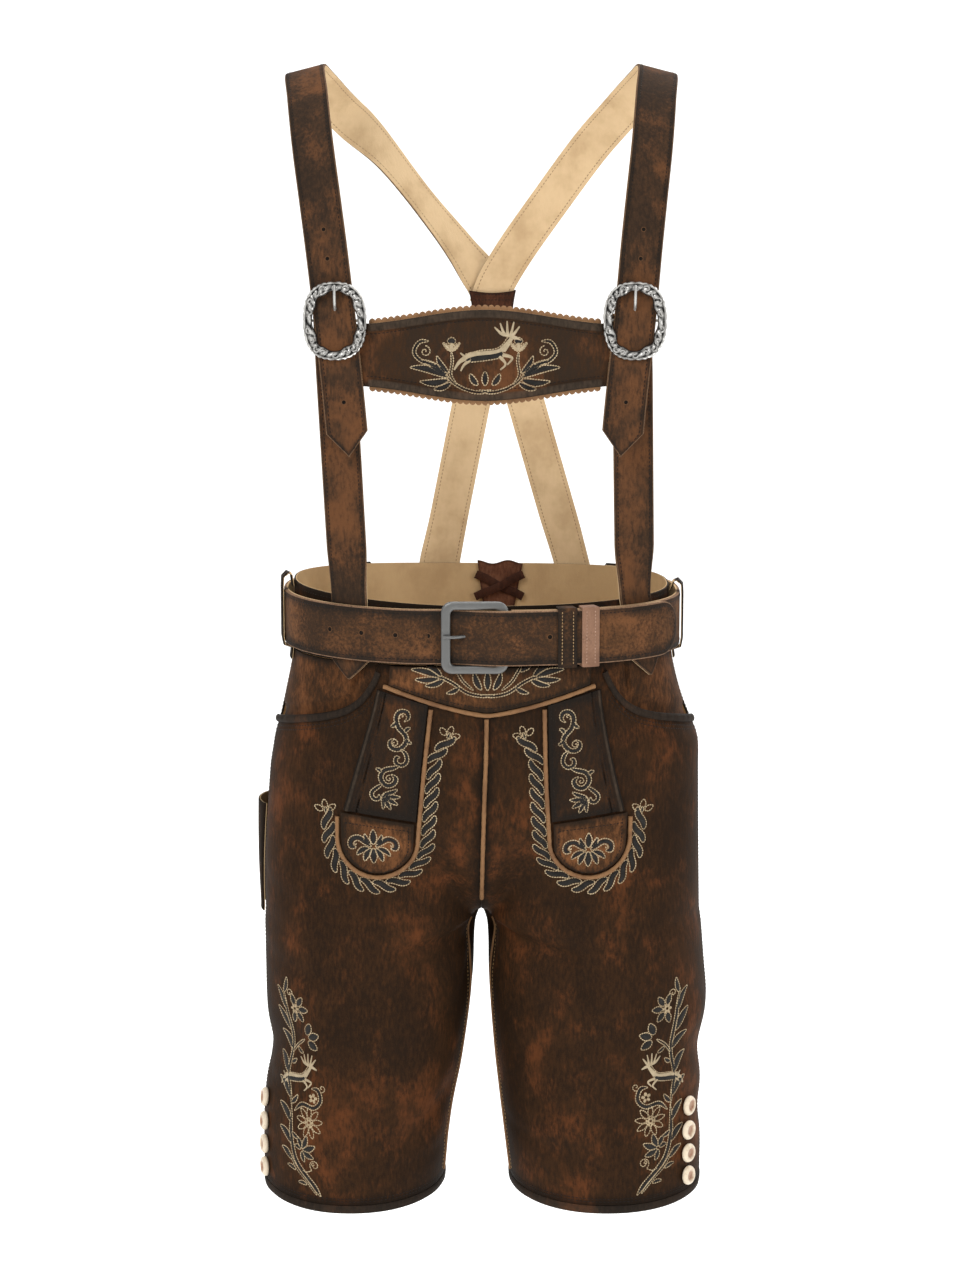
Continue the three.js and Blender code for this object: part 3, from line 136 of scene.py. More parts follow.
# Creases: side, share round the leg and height of both ends, width, depth. The first group is
# the large ones; the rest are small, shallow and uneven.
CREASES = [
    (-1, 0.02, -256, 0.17, -278, 13, 4.5), (-1, 0.03, -275, 0.1, -325, 13, 2.5),
    (-1, 0.5, -366, 0.37, -342, 18, 4.5), (-1, 0.22, -330, 0.3, -430, 20, -3),
    (-1, 0.08, -395, 0.16, -425, 16, 2.5), (1, 0.02, -255, 0.2, -268, 13, 4.5),
    (1, 0.03, -268, 0.13, -318, 13, 2.5), (1, 0.5, -322, 0.4, -330, 22, -2.5),
    (1, 0.5, -368, 0.36, -350, 18, 3), (1, 0.24, -300, 0.2, -410, 20, -3),
    (1, 0.5, -420, 0.4, -402, 16, 2.5), (-1, 0.98, -252, 0.82, -276, 14, 5),
    (-1, 0.97, -290, 0.86, -322, 15, 3.5), (-1, 0.62, -372, 0.8, -392, 17, 3.5),
    (-1, 0.66, -215, 0.78, -246, 18, 3), (1, 0.98, -250, 0.8, -268, 14, 5),
    (1, 0.97, -284, 0.85, -330, 15, 3.5), (1, 0.6, -385, 0.78, -372, 17, 3.5),
    (1, 0.64, -208, 0.8, -236, 18, 3),
    (-1, 0.05, -250, 0.21, -265, 5, 2.7), (-1, 0.1, -288, 0.26, -300, 7, 1.0),
    (-1, 0.13, -345, 0.3, -366, 9, 0.9), (-1, 0.3, -232, 0.45, -214, 9, 0.8),
    (-1, 0.28, -392, 0.44, -384, 8, 1.0), (-1, 0.06, -238, 0.15, -228, 6, 0.9),
    (-1, 0.05, -440, 0.2, -452, 7, 0.7), (-1, 0.32, -286, 0.47, -272, 8, 0.9),
    (1, 0.05, -251, 0.22, -267, 5, 2.7), (1, 0.09, -284, 0.24, -292, 7, 1.1),
    (1, 0.12, -352, 0.27, -338, 9, 0.9), (1, 0.3, -238, 0.46, -246, 9, 0.8),
    (1, 0.27, -376, 0.42, -392, 8, 1.0), (1, 0.05, -236, 0.16, -226, 6, 0.9),
    (1, 0.06, -420, 0.2, -436, 7, 0.8), (1, 0.3, -300, 0.46, -312, 8, 0.8),
    (-1, 0.9, -262, 0.72, -290, 7, 1.2), (-1, 0.84, -350, 0.64, -336, 9, 1.1),
    (-1, 0.9, -420, 0.74, -432, 8, 0.9), (-1, 0.94, -180, 0.84, -206, 10, 1.0),
    (-1, 0.56, -262, 0.68, -280, 8, 0.9), (-1, 0.72, -120, 0.86, -108, 10, 0.8),
    (1, 0.91, -260, 0.74, -286, 7, 1.2), (1, 0.85, -344, 0.66, -352, 9, 1.1),
    (1, 0.9, -412, 0.72, -426, 8, 0.9), (1, 0.93, -176, 0.82, -198, 10, 1.0),
    (1, 0.57, -270, 0.7, -262, 8, 0.9), (1, 0.7, -112, 0.85, -124, 10, 0.8)]


def between(value, low, high):
    """0 below low, 1 above high, and a soft step between them."""
    t = np.clip((value - low) / (high - low), 0, 1)
    return t * t * (3 - 2 * t)


def blend(first, second, share):
    return first + (second - first) * share


def read(table, z):
    """Smooth reading of a table that is keyed by falling height: one array per column."""
    rows = np.array(table, float)
    z = np.clip(z, rows[-1, 0], rows[0, 0])
    k = np.clip(np.searchsorted(-rows[:, 0], -z, side="left") - 1, 0, len(rows) - 2)
    ahead = np.vstack([rows[1:], rows[-1:]])
    behind = np.vstack([rows[:1], rows[:-1]])
    slopes = (ahead - behind) / (ahead - behind)[:, :1]
    span = rows[k + 1, 0] - rows[k, 0]
    t = (z - rows[k, 0]) / span
    columns = []
    for c in range(1, rows.shape[1]):
        rise = rows[k + 1, c] - rows[k, c]
        bend = (slopes[k, c] * span - rise) * (1 - t) - (slopes[k + 1, c] * span - rise) * t
        columns.append(rows[k, c] + rise * t + t * (1 - t) * bend)
    return columns


ARC = np.linspace(0, math.pi / 2, 41)


def quarter(width, depth, roundness, share):
    """A quarter of a rounded oval from (0, depth) to (width, 0), read by share of its length."""
    x = width[..., None] * np.sin(ARC) ** (2 / roundness)
    y = depth[..., None] * np.maximum(np.cos(ARC), 0) ** (2 / roundness)
    steps = np.hypot(np.diff(x), np.diff(y))
    run = np.concatenate([np.zeros_like(steps[..., :1]), np.cumsum(steps, axis=-1)], axis=-1)
    wanted = np.clip(share, 0, 1) * run[..., -1]
    i = np.clip(np.sum(run[..., 1:] < wanted[..., None], axis=-1), 0, 39)[..., None]
    low, high = (np.take_along_axis(run, i + step, -1)[..., 0] for step in (0, 1))
    t = (wanted - low) / (high - low)
    return [blend(np.take_along_axis(line, i, -1)[..., 0],
                  np.take_along_axis(line, i + 1, -1)[..., 0], t) for line in (x, y)]


def plain(side, around, z):
    """The filled-out body and legs without creases; around runs 0 to 1 from front to back."""
    half_width, front, back = read(TORSO, z)
    ahead = around <= 0.5
    torso_x, torso_y = quarter(half_width, np.where(ahead, front, back), TORSO_ROUND,
                               np.where(ahead, around, 1 - around) * 2)
    mid_x, mid_y, leg_width, leg_depth = read(LEG, z)
    aside = np.where(ahead, around - 0.25, 0.75 - around)
    leg_x, leg_y = quarter(leg_width, leg_depth, LEG_ROUND, np.abs(aside) * 4)
    leg_x = mid_x + np.sign(aside) * leg_x
    fall = np.clip((RISE_TOP - z) / (RISE_TOP - CROTCH), 0, 1)
    share = blend(1 - np.sqrt(1 - fall * fall), between(fall, 0, 1),
                  between(np.minimum(around, 1 - around), 0, 0.14))
    x = np.maximum(blend(torso_x, leg_x, share), SEAM / 2)
    y = blend(np.where(ahead, -torso_y, torso_y), mid_y + np.where(ahead, -leg_y, leg_y), share)
    front_line, back_line, sides = read(SWAY, z)
    middle = blend(front_line, back_line, between(y, 0, 100))
    drift = blend(middle, sides, np.minimum(x / 175, 1) ** 2)
    return np.stack([side * x + drift, y, z + 0 * x], -1)


def unit(vectors):
    return vectors / np.maximum(np.linalg.norm(vectors, axis=-1, keepdims=True), 1e-9)


def skin(side, around, z, lift=0.0):
    """A point of the creased surface, moved out by lift square to it."""
    side, around, z, lift = [np.array(v, float) for v in np.broadcast_arrays(side, around, z, lift)]
    a = np.clip(around, 0.002, 0.998)
    across = plain(side, a + 0.002, z) - plain(side, a - 0.002, z)
    down = plain(side, a, z - 1.5) - plain(side, a, z + 1.5)
    out = unit(np.cross(down, across)) * side[..., None]
    creased = np.zeros_like(z)
    for s, a0, z0, a1, z1, width, depth in CREASES:
        run = np.array([(a1 - a0) * AROUND, z1 - z0])
        here = [(around - a0) * AROUND, z - z0]
        share = np.clip((here[0] * run[0] + here[1] * run[1]) / (run @ run), 0, 1)
        away = np.hypot(here[0] - share * run[0], here[1] - share * run[1]) / width
        creased -= np.where(side == s, depth * np.exp(-away * away), 0)
    fade = between(np.minimum(around, 1 - around), 0, 0.03)
    point = plain(side, around, z) + out * (lift + creased * fade)[..., None]
    front_line, back_line, _ = read(SWAY, z)
    centre = blend(front_line, back_line, between(point[..., 1], 0, 100))
    inside = (point[..., 0] - centre) * side < SEAM / 2
    point[..., 0] = np.where(inside, centre + side * SEAM / 2, point[..., 0])
    return point


GRID_Z = np.linspace(36, -496, 267)
GRID_AROUND = np.linspace(0, 0.5, 161)
grid_x = {s: skin(s, *np.meshgrid(GRID_AROUND, GRID_Z))[..., 0] * s for s in (-1, 1)}


def front_around(x, z):
    """Side and share round the front at a sideways place x, read from a fine grid."""
    x, z = [np.array(v, float) for v in np.broadcast_arrays(x, z)]
    side = np.where(x < read(SWAY, z)[0], -1.0, 1.0)
    row = np.clip((GRID_Z[0] - z) / (GRID_Z[0] - GRID_Z[-1]) * (len(GRID_Z) - 1), 0, len(GRID_Z) - 1.001)
    found = []
    for r in (np.floor(row).astype(int), np.floor(row).astype(int) + 1):
        low = np.zeros(x.shape, int)
        high = np.full(x.shape, len(GRID_AROUND) - 1)

        def at(column):
            return np.where(side < 0, grid_x[-1][r, column], grid_x[1][r, column])
        for _ in range(9):
            middle = (low + high) // 2
            short = at(middle) < x * side
            low = np.where(short, middle, low)
            high = np.where(short, high, middle)
        high = np.minimum(low + 1, len(GRID_AROUND) - 1)
        t = np.clip((x * side - at(low)) / np.maximum(at(high) - at(low), 1e-6), 0, 1)
        found.append((low + t) / (len(GRID_AROUND) - 1) / 2)
    return side, blend(found[0], found[1], row - np.floor(row))


def front_at(x, z, lift=0.0):
    side, around = front_around(x, z)
    return skin(side, around, z, lift)


def mouth_z(side, around):
    """Height of the slanted pocket mouth."""
    start = MOUTH["start"][side]
    t = np.maximum((around - start) / (0.5 - start), 0)
    return np.where(t <= 0, WAIST_SEAM,
                    WAIST_SEAM - MOUTH["drop"] * (1 - np.exp(-t / MOUTH["turn"])) - MOUTH["slope"] * t)


def hem_z(around):
    bulge = np.sin(2 * math.pi * (around % 0.5)) ** 2
    return HEM["side"] - np.where(around <= 0.5, HEM["front"], HEM["back"]) * bulge


def crowded(count, margin=0.006, low=0.0, high=1.0):
    """Shares from low to high that crowd at both ends, where an edge is rounded over."""
    inner = np.linspace(margin * 3.2, 1 - margin * 3.2, count)
    ends = np.array([0, 0.25, 0.6, 1.1, 1.9]) * margin
    return low + (high - low) * np.concatenate([ends, inner, 1 - ends[::-1]])


def mesh_piece(name, points, faces, replaces=(), uv=None, smooth_angle=38, **data):
    """A mesh object in metres from points in millimetres, with one number per point in data."""
    mesh = bpy.data.meshes.new(name)
    mesh.from_pydata((np.asarray(points).reshape(-1, 3) * 0.001).tolist(), [], faces)
    mesh.polygons.foreach_set("use_smooth", [True] * len(mesh.polygons))
    mesh.set_sharp_from_angle(angle=math.radians(smooth_angle))
    for key, values in data.items():
        layer = mesh.attributes.new(key, "FLOAT", "POINT")
        layer.data.foreach_set("value", np.ravel(values).astype(np.float32))
    if uv is not None:
        corners = np.empty(len(mesh.loops), int)
        mesh.loops.foreach_get("vertex_index", corners)
        layer = mesh.uv_layers.new(name="cut")
        layer.data.foreach_set("uv", (np.reshape(uv, (-1, 2))[corners] * 0.001).astype(np.float32).ravel())
    piece = bpy.data.objects.new(name, mesh)
    scene.collection.objects.link(piece)
    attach(piece, "root")
    if replaces:
        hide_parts(*replaces)
    return piece


def dress(piece, look, slot, **cut):
    """Gives a piece its material; how a sheet of leather was cut is passed in but not used."""
    piece.data.materials.append(look)


def outward_faces(points, faces):
    """The same faces, turned round as a whole if they point inwards."""
    flat = np.asarray(points).reshape(-1, 3)
    corners = np.array([face[:3] for face in faces])
    a, b, c = flat[corners[:, 0]], flat[corners[:, 1]], flat[corners[:, 2]]
    volume = np.einsum("ij,ij->", a - flat[0], np.cross(b - flat[0], c - flat[0]))
    return faces if volume > 0 else [face[::-1] for face in faces]


def quads(index):
    """Corners of the quads between neighbouring rows and columns of numbered points."""
    return np.stack([index[:-1, :-1], index[:-1, 1:], index[1:, 1:], index[1:, :-1]], -1).reshape(-1, 4)


def shell(name, place, u, v, low, high, soft, node, ridge=None):
    """A leather wall between two lifts, with rounded edges. place(u, v, lift) gives points."""
    columns, rows = np.meshgrid(u, v)
    outer = place(columns, rows, high)
    normal = unit(place(columns, rows, high + 1.0) - outer)
    across = np.linalg.norm(np.diff(outer, axis=1), axis=-1)
    down = np.linalg.norm(np.diff(outer, axis=0), axis=-1)
    run_u = np.concatenate([np.zeros((len(v), 1)), np.cumsum(across, 1)], 1)
    run_v = np.concatenate([np.zeros((1, len(u))), np.cumsum(down, 0)], 0)
    edge = np.minimum(np.minimum(run_v, run_v[-1:] - run_v), np.minimum(run_u, run_u[:, -1:] - run_u))
    drop = soft * (1 - np.sqrt(np.maximum(1 - (1 - np.minimum(edge / (1.3 * soft), 1)) ** 2, 0)))
    outer = outer - normal * drop[..., None]
    inner = place(columns, rows, low + 0 * columns)
    count = outer.shape[0] * outer.shape[1]
    index = np.arange(count).reshape(len(v), len(u))
    faces = quads(index)
    rims = [index[0], index[-1][::-1], index[:, -1], index[::-1, 0]]
    sides = [np.stack([rim[:-1], rim[:-1] + count, rim[1:] + count, rim[1:]], -1) for rim in rims]
    faces = np.concatenate([faces, faces[:, ::-1] + count] + sides).tolist()
    points = np.concatenate([outer.reshape(-1, 3), inner.reshape(-1, 3)])
    uv = np.stack([run_u, run_v], -1).reshape(-1, 2)
    raised = ridge(columns, rows) if ridge else 0 * edge
    return mesh_piece(name, points, outward_faces(points, faces), (node,), np.concatenate([uv, uv]),
                      edge=np.concatenate([edge.ravel(), edge.ravel()]),
                      under=np.concatenate([np.zeros(count), np.ones(count)]),
                      ridge=np.concatenate([raised.ravel(), np.zeros(count)]))


class Paint:
    """A number, vector or colour in a material, worked with like a plain value."""

    def __init__(self, tree, socket):
        self.tree, self.socket = tree, socket

    def node(self, kind, settings, sockets, output=0):
        made = self.tree.nodes.new(kind)
        for key, value in settings.items():
            if key == "stops":
                for k, (at, shade) in enumerate(value):
                    stop = made.color_ramp.elements[k] if k < 2 else made.color_ramp.elements.new(at)
                    stop.position, stop.color = at, (*shade, 1)
            else:
                setattr(made, key, value)
        for key, value in sockets.items():
            if isinstance(value, Paint):
                self.tree.links.new(value.socket, made.inputs[key])
            else:
                made.inputs[key].default_value = value
        return Paint(self.tree, made.outputs[output])

    def math(self, operation, first, second=0.0):
        return self.node("ShaderNodeMath", {"operation": operation}, {0: first, 1: second})

    def __add__(self, other):
        return self.math("ADD", self, other)

    def __sub__(self, other):
        return self.math("SUBTRACT", self, other)

    def __rsub__(self, other):
        return self.math("SUBTRACT", other, self)

    def __mul__(self, other):
        return self.math("MULTIPLY", self, other)

    __radd__ = __add__
    __rmul__ = __mul__

    def step(self, low, high):
        return self.node("ShaderNodeMapRange", {"interpolation_type": "SMOOTHSTEP"},
                         {"Value": self, "From Min": low, "From Max": high})

    def mix(self, first, second):
        """First where this mask is 0, second where it is 1."""
        first, second = [(*shade, 1) if isinstance(shade, tuple) else shade for shade in (first, second)]
        return self.node("ShaderNodeMix", {"data_type": "RGBA"}, {0: self, 6: first, 7: second}, 2)


def start_look(name):
    """A new material: its tree's coordinates in metres as Paint, and its shader."""
    look = bpy.data.materials.new(name)
    look.use_nodes = True
    tree = look.node_tree
    place = Paint(tree, tree.nodes.new("ShaderNodeTexCoord").outputs["Object"])
    return look, place, tree.nodes["Principled BSDF"]


def noise(place, scale, detail=3.0, rough=0.55, distortion=0.0):
    return place.node("ShaderNodeTexNoise", {}, {"Vector": place, "Scale": scale, "Detail": detail,
                                                 "Roughness": rough, "Distortion": distortion})


def stretched(place, x, y, z):
    return place.node("ShaderNodeMapping", {"vector_type": "POINT"}, {"Vector": place, "Scale": (x, y, z)})


def attribute(place, name):
    return place.node("ShaderNodeAttribute", {"attribute_name": name}, {}, 2)


def finish_look(shader, colour, rough, height=None, depth=0.0004, metal=0.0):
    tree = shader.id_data
    tree.links.new(colour.socket, shader.inputs["Base Color"])
    if isinstance(rough, Paint):
        tree.links.new(rough.socket, shader.inputs["Roughness"])
    else:
        shader.inputs["Roughness"].default_value = rough
    shader.inputs["Metallic"].default_value = metal
    if height is not None:
        bump = colour.node("ShaderNodeBump", {}, {"Height": height, "Distance": depth, "Strength": 1.0})
        tree.links.new(bump.socket, shader.inputs["Normal"])


SUEDE = (0.53, 0.37, 0.2)
SUEDE_DARK = (0.36, 0.235, 0.12)
# Tones for the tops of raised ridges and rolled edges: partly wear, partly a painted highlight standing in
# for the sheen the lamps do not raise there.
RIDGE_WEAR_AND_SHEEN_LIGHT, RIDGE_WEAR_AND_SHEEN_DARK = (0.066, 0.047, 0.033), (0.018, 0.0135, 0.010)


def rubbed_leather(name, base, rust, dark, edge_width, rust_share=0.5, lined=True, raw=None, lining=SUEDE,
                   streak=0.35):
    """Oiled leather: rust patches, black rubbed edges, fine grain, a painted highlight mixed with wear along
    raised ridges, and suede on the inside.

    Edge_width is in mm; raw is the colour of a cut edge, where one shows; a low streak draws the
    nap out downwards.
    """
    look, place, shader = start_look(name)
    cloud = noise(stretched(place, 1, 1, 0.45 + streak / 2), 13, 5, 0.62, 0.35)
    blotch = noise(place, 42, 4, 0.6, 0.2)
    nap = noise(stretched(place, 1, 1, streak), 420, 3, 0.6)
    grain = noise(place, 1500, 2, 0.5)
    patches = cloud * 0.58 + blotch * 0.36 + nap * 0.15
    rusty = patches.step(0.61 - 0.16 * rust_share, 0.79 - 0.18 * rust_share)
    colour = rusty.mix(base, rust)
    deep = (cloud * 0.5 + nap * 0.35 + grain * 0.2).step(0.6, 0.42)
    colour = (deep * 0.7).mix(colour, dark)
    edge = attribute(place, "edge")
    ragged = edge + (blotch - 0.5) * (edge_width * 0.9) + (nap - 0.5) * (edge_width * 0.35)
    colour = (ragged.step(edge_width, edge_width * 0.08) * 0.86).mix(colour, dark)
    # Raised ridges get a painted highlight in patchy light and dark grey-brown, partly wear and partly
    # standing in for the sheen on a roll.
    ridge = attribute(place, "ridge").step(0.35, 0.9) * 0.8
    colour = ridge.mix(colour, (nap * 0.7 + blotch * 0.5).step(0.3, 0.9).mix(RIDGE_WEAR_AND_SHEEN_DARK, RIDGE_WEAR_AND_SHEEN_LIGHT))
    if raw:
        colour = edge.step(1.3, 0.6).mix(colour, (grain * 0.8 + nap * 0.3).step(0.2, 0.8).mix(dark, raw))
    rough = 0.62 + nap * 0.16 - rusty * 0.04
    height = nap * 0.55 + grain * 0.35 + blotch * 0.5
    if lined:
        inside = attribute(place, "under")
        stain = noise(place, 24, 4, 0.6).step(0.4, 0.7)
        colour = inside.step(0.45, 0.55).mix(colour, (stain * 0.5 + nap * 0.2).mix(lining, SUEDE_DARK))
        rough = rough + inside * 0.16
    finish_look(shader, colour, rough, height, 0.00045)
    shader.inputs["Specular IOR Level"].default_value = 0.04
    return look


HIDE = rubbed_leather("rubbed_buckskin", (0.0360, 0.0164, 0.0070), (0.098, 0.0330, 0.0115),
                      (0.0095, 0.0066, 0.0045), 11)
WORN_HIDE = rubbed_leather("worn_rust_buckskin", (0.060, 0.026, 0.0105), (0.130, 0.050, 0.0185),
                           (0.0135, 0.0095, 0.0065), 8, 0.8)
# Where the shares of a panel's width and height are cut: more finely in front than behind.
columns = {True: crowded(92, 0.0035, SEAM / 2 / AROUND, 0.5 - SEAM / 2 / AROUND),
           False: crowded(72, 0.0035, 0.5 + SEAM / 2 / AROUND, 1 - SEAM / 2 / AROUND)}
row_share = crowded(150, 0.0025)
PANEL_CUT = {True: (0.30, 0.462, 0.118), False: (0.31, 0.462, 0.124)}      # metres and square metres


def panel_place(side, ahead):
    def place(around, share, lift):
        top = (mouth_z(side, around) if ahead else WAIST_SEAM + 0 * around) - SEAM / 2
        return skin(side, around, blend(top, hem_z(around), share), lift)
    return place


panels = []
for side in (-1, 1):
    for ahead in (True, False):
        name = f"{'front' if ahead else 'back'}_{WORD[side]}"
        panel = shell(name + "_panel", panel_place(side, ahead), columns[ahead], row_share, -2, 0, 0.5,
                      node=name)
        width, length, area = PANEL_CUT[ahead]
        dress(panel, HIDE, "hide", flat=(width, length), area=area, held="hung", rests_on=["waistband_front"])
        panels.append(panel)

# ---- Hip pieces, pocket lips and hem bindings ----
# Above each slanted pocket mouth the hip piece of the same hide shows and runs down behind the
# front. The mouth has a rolled, nearly black lip; the hems are bound with a folded strip.
def hip_place(side):
    def place(around, share, lift):
        mouth = mouth_z(side, around)
        z = blend(WAIST_SEAM - SEAM / 2, mouth - MOUTH["behind"], share)
        sunk = np.where(around < MOUTH["start"][side] + 0.05, 1, 1 - between(z - mouth, 4, 14))
        return skin(side, around, z, lift - 3.4 * sunk)
    return place


def loops_mesh(name, loops, ring=False, replaces=(), smooth_angle=50, **data):
    """Joins closed loops of points, one after another, and closes the ends or the ring."""
    count, size = loops.shape[:2]
    index = np.arange(count * size).reshape(count, size)
    step = np.concatenate([index, index[:1]]) if ring else index
    around = np.concatenate([step, step[:, :1]], 1)
    faces = quads(around).tolist()
    if not ring:
        faces += [index[0][::-1].tolist(), index[-1].tolist()]
    points = loops.reshape(-1, 3)
    data.setdefault("edge", np.full(len(points), 30.0))
    data.setdefault("under", np.zeros(len(points)))
    faces = outward_faces(points, faces)
    return mesh_piece(name, points, faces, replaces, smooth_angle=smooth_angle, **data)


LIP = rubbed_leather("black_rolled_leather", (0.028, 0.019, 0.0135), (0.07, 0.031, 0.0155),
                     (0.010, 0.0085, 0.007), 2.5, 0.3, lined=False)
for side in (-1, 1):
    word = WORD[side]
    start = MOUTH["start"][side]
    hip = shell(f"hip_piece_{word}_leather", hip_place(side),
                crowded(44, 0.006, start - 0.015, 0.5 - SEAM / AROUND / 2), crowded(34), -1.5, 0, 0.5,
                node=f"hip_piece_{word}")
    dress(hip, WORN_HIDE, "hide", flat=(0.135, 0.082), area=0.0076, held="hung", rests_on=[f"front_{word}"])

    lip_around = blend(start + 0.004, 0.5 - 1.5 * SEAM / AROUND, np.linspace(0, 1, 90) ** 1.3)
    lip_z = mouth_z(side, lip_around)
    fall = (mouth_z(side, lip_around + 0.004) - lip_z) / (0.004 * AROUND)
    below = unit(np.stack([fall, -np.ones_like(fall)], -1))
    section = [(0.8, 0.9), (0.5, 1.7), (1.0, 2.6), (2.2, 3.2), (3.6, 3.3), (5.0, 2.9), (6.2, 2.1), (6.8, 0.9)]
    waver = 1 + 0.06 * np.sin(np.arange(90) * 0.9)
    lip = np.stack([skin(side, lip_around + below[:, 0] * d / AROUND, lip_z + below[:, 1] * d, h * waver)
                    for d, h in section], 1)
    dress(loops_mesh(f"pocket_lip_{word}_roll", lip, replaces=[f"pocket_lip_{word}"]), LIP, "hide")

    hem_around = (np.arange(150) + 0.5) / 150
    hem_low = hem_z(hem_around)
    hem = []
    for drop, lift in [(0, -2.4), (0, 0.0), (0.8, 0.5), (2.2, 0.75), (4.4, 0.7), (6.2, 0.35), (7.0, -0.8),
                       (6.8, -1.8), (5.5, -2.4)]:
        ripple = lift + (0.12 * np.sin(hem_around * 90) if lift > 0 else 0)
        ring = skin(side, hem_around, hem_low + 1, ripple)
        ring[:, 2] = hem_low - SEAM - drop
        hem.append(ring)
    hem_piece = loops_mesh(f"hem_binding_{word}_strip", np.stack(hem, 1), ring=True,
                           replaces=[f"hem_binding_{word}"])
    dress(hem_piece, LIP, "hide")

# ---- Waistband, gusset and lacing ----
# The waistband is dark leather faced inside with pale suede. At the back it is split over a
# red-brown gusset and drawn together by two crossing thongs.
BACK_ARC = 200


def band_top(side, around):
    sideways = np.sin(math.pi * around) ** 2
    return blend(np.where(around < 0.5, 26, 29), np.where(side < 0, 34.5, 29.5), sideways)


def front_band(place_round, share, lift):
    side = np.where(place_round < 0, -1.0, 1.0)
    around = np.minimum(np.abs(place_round), 0.5 - SEAM / AROUND / 2)
    return skin(side, around, blend(WAIST_SEAM + SEAM / 2, band_top(side, around), share), lift)


band = shell("waistband_front_strip", front_band, crowded(150, 0.003, -0.5, 0.5), crowded(16, 0.02), -2, 0,
             0.8, node="waistband_front")
bands = [(band, (0.43, 0.05))]
for side in (-1, 1):
    def rear_band(p, share, lift, side=side):
        split = blend(3, 15, share) / BACK_ARC / 2
        around = blend(0.5 + SEAM / AROUND / 2, 1 - split, p)
        return skin(side, around, blend(WAIST_SEAM + SEAM / 2, band_top(side, around), share), lift)
    word = WORD[side]
    bands.append((shell(f"waistband_back_{word}_strip", rear_band, crowded(70, 0.004), crowded(16, 0.02),
                        -2, 0, 0.8, node=f"waistband_back_{word}"), (0.205, 0.054)))
for band, cut in bands:
    dress(band, HIDE, "band", flat=cut, held="hung", rests_on=["wearer_waist"])


def back_waist(x, z, lift):
    return skin(np.where(x < 0, -1.0, 1.0), 1 - np.abs(x) / BACK_ARC / 2, z, lift)


def gusset_place(p, share, lift):
    half = blend(11, 18.5, share)
    ragged = 1.5 * np.cos(3 * math.pi * p) * between(share, 0.6, 1)
    return back_waist(blend(-half, half, p), blend(-19, 30.5, share) + ragged, lift)


RUST_HIDE = rubbed_leather("red_brown_leather", (0.125, 0.052, 0.030), (0.19, 0.085, 0.048),
                           (0.05, 0.02, 0.012), 3, 0.55, lined=False)
THONG = rubbed_leather("dark_red_thong", (0.052, 0.021, 0.013), (0.082, 0.034, 0.021), (0.018, 0.009, 0.007),
                       0.8, 0.4, lined=False)
gusset = shell("back_gusset_tab", gusset_place, crowded(26, 0.02), crowded(30, 0.015), -4.0, -2.4, 0.6,
               node="back_gusset")
dress(gusset, RUST_HIDE, "rust", flat=(0.038, 0.05), held="hung", rests_on=["waistband_back_right"])
THONG_SIZE = {"width": 6.5, "thick": 1.4, "reach": 19.5, "high": 20}
for turn, node in [(1, "back_lace_under"), (-1, "back_lace_over")]:
    t = np.linspace(0, 1, 40)
    over = (THONG_SIZE["thick"] + 0.5) * np.sin(math.pi * t) ** 0.5 if turn < 0 else 0 * t
    base = -4.4 - over
    x = blend(-THONG_SIZE["reach"], THONG_SIZE["reach"], t) * turn
    z = THONG_SIZE["high"] * (1 - t) + 0.5 * np.sin(9 * t)
    half = THONG_SIZE["width"] / 2
    thong = np.stack([back_waist(x + up * half * turn / 2.4, z + up * half, base - deep * THONG_SIZE["thick"])
                      for up, deep in [(-1, 0.75), (-0.85, 1), (0, 1.06), (0.85, 1), (1, 0.75), (1, 0.2),
                                       (0.85, 0), (-0.85, 0), (-1, 0.2)]], 1)
    dress(loops_mesh(f"{node}_thong", thong, replaces=[node]), THONG, "thong")

# ---- Front flap ----
# The bib, two tapering strips with a raised outer ridge and two rounded tabs lie on the fronts.
# Tan piping edges the bib, runs down the inner side of each strip, round its tab and up again.
# Heights come first in each table, then places outwards from the flap's own middle.
ON_PANEL = 0.95
FLAP_SHIFT = [(-22, 7), (-60, 4.5), (-120, 2), (-210, 1)]
RIDGE = [(-22, 84), (-60, 90), (-105, 101), (-143, 111)]
PIPE_LINE = [(-54, 45), (-121, 49.5), (-168, 53)]
TAB = {"in": -151, "out": -144, "round": 32.5, "x": 85.5, "z": -166, "end": -149}
BIB_HALF = 83


def flap_x(side, x, z):
    return side * x + read(FLAP_SHIFT, z)[0]


def bib_edge(x):
    return blend(-61, -39, np.clip(np.abs(x) / BIB_HALF, 0, 1) ** 1.35)


def bib_place(p, share, lift):
    x = blend(3 - BIB_HALF, BIB_HALF - 3, p)
    z = blend(-23, bib_edge(x) + 1.2, share)
    return front_at(x + read(FLAP_SHIFT, z)[0], z, lift)


FLAP_HIDE = rubbed_leather("worn_rust_flap", (0.073, 0.032, 0.0135), (0.150, 0.060, 0.0230),
                           (0.0145, 0.0105, 0.0072), 7, 0.85, lined=False)
DARK_HIDE = rubbed_leather("smoked_buckskin", (0.038, 0.018, 0.0085), (0.088, 0.034, 0.0135),
                           (0.0115, 0.0095, 0.0078), 13, 0.45, lined=False)
bib = shell("flap_bib_leather", bib_place, crowded(110, 0.004), crowded(26, 0.02), ON_PANEL, ON_PANEL + 1.6,
            0.7, node="flap_bib")
dress(bib, FLAP_HIDE, "hide",
      flat=(0.165, 0.037), area=0.0047, held="hung", rests_on=["front_right", "front_left"])


def strip_ridge(share, q):
    return np.exp(-((share - 0.945) / 0.03) ** 2) + 0 * q


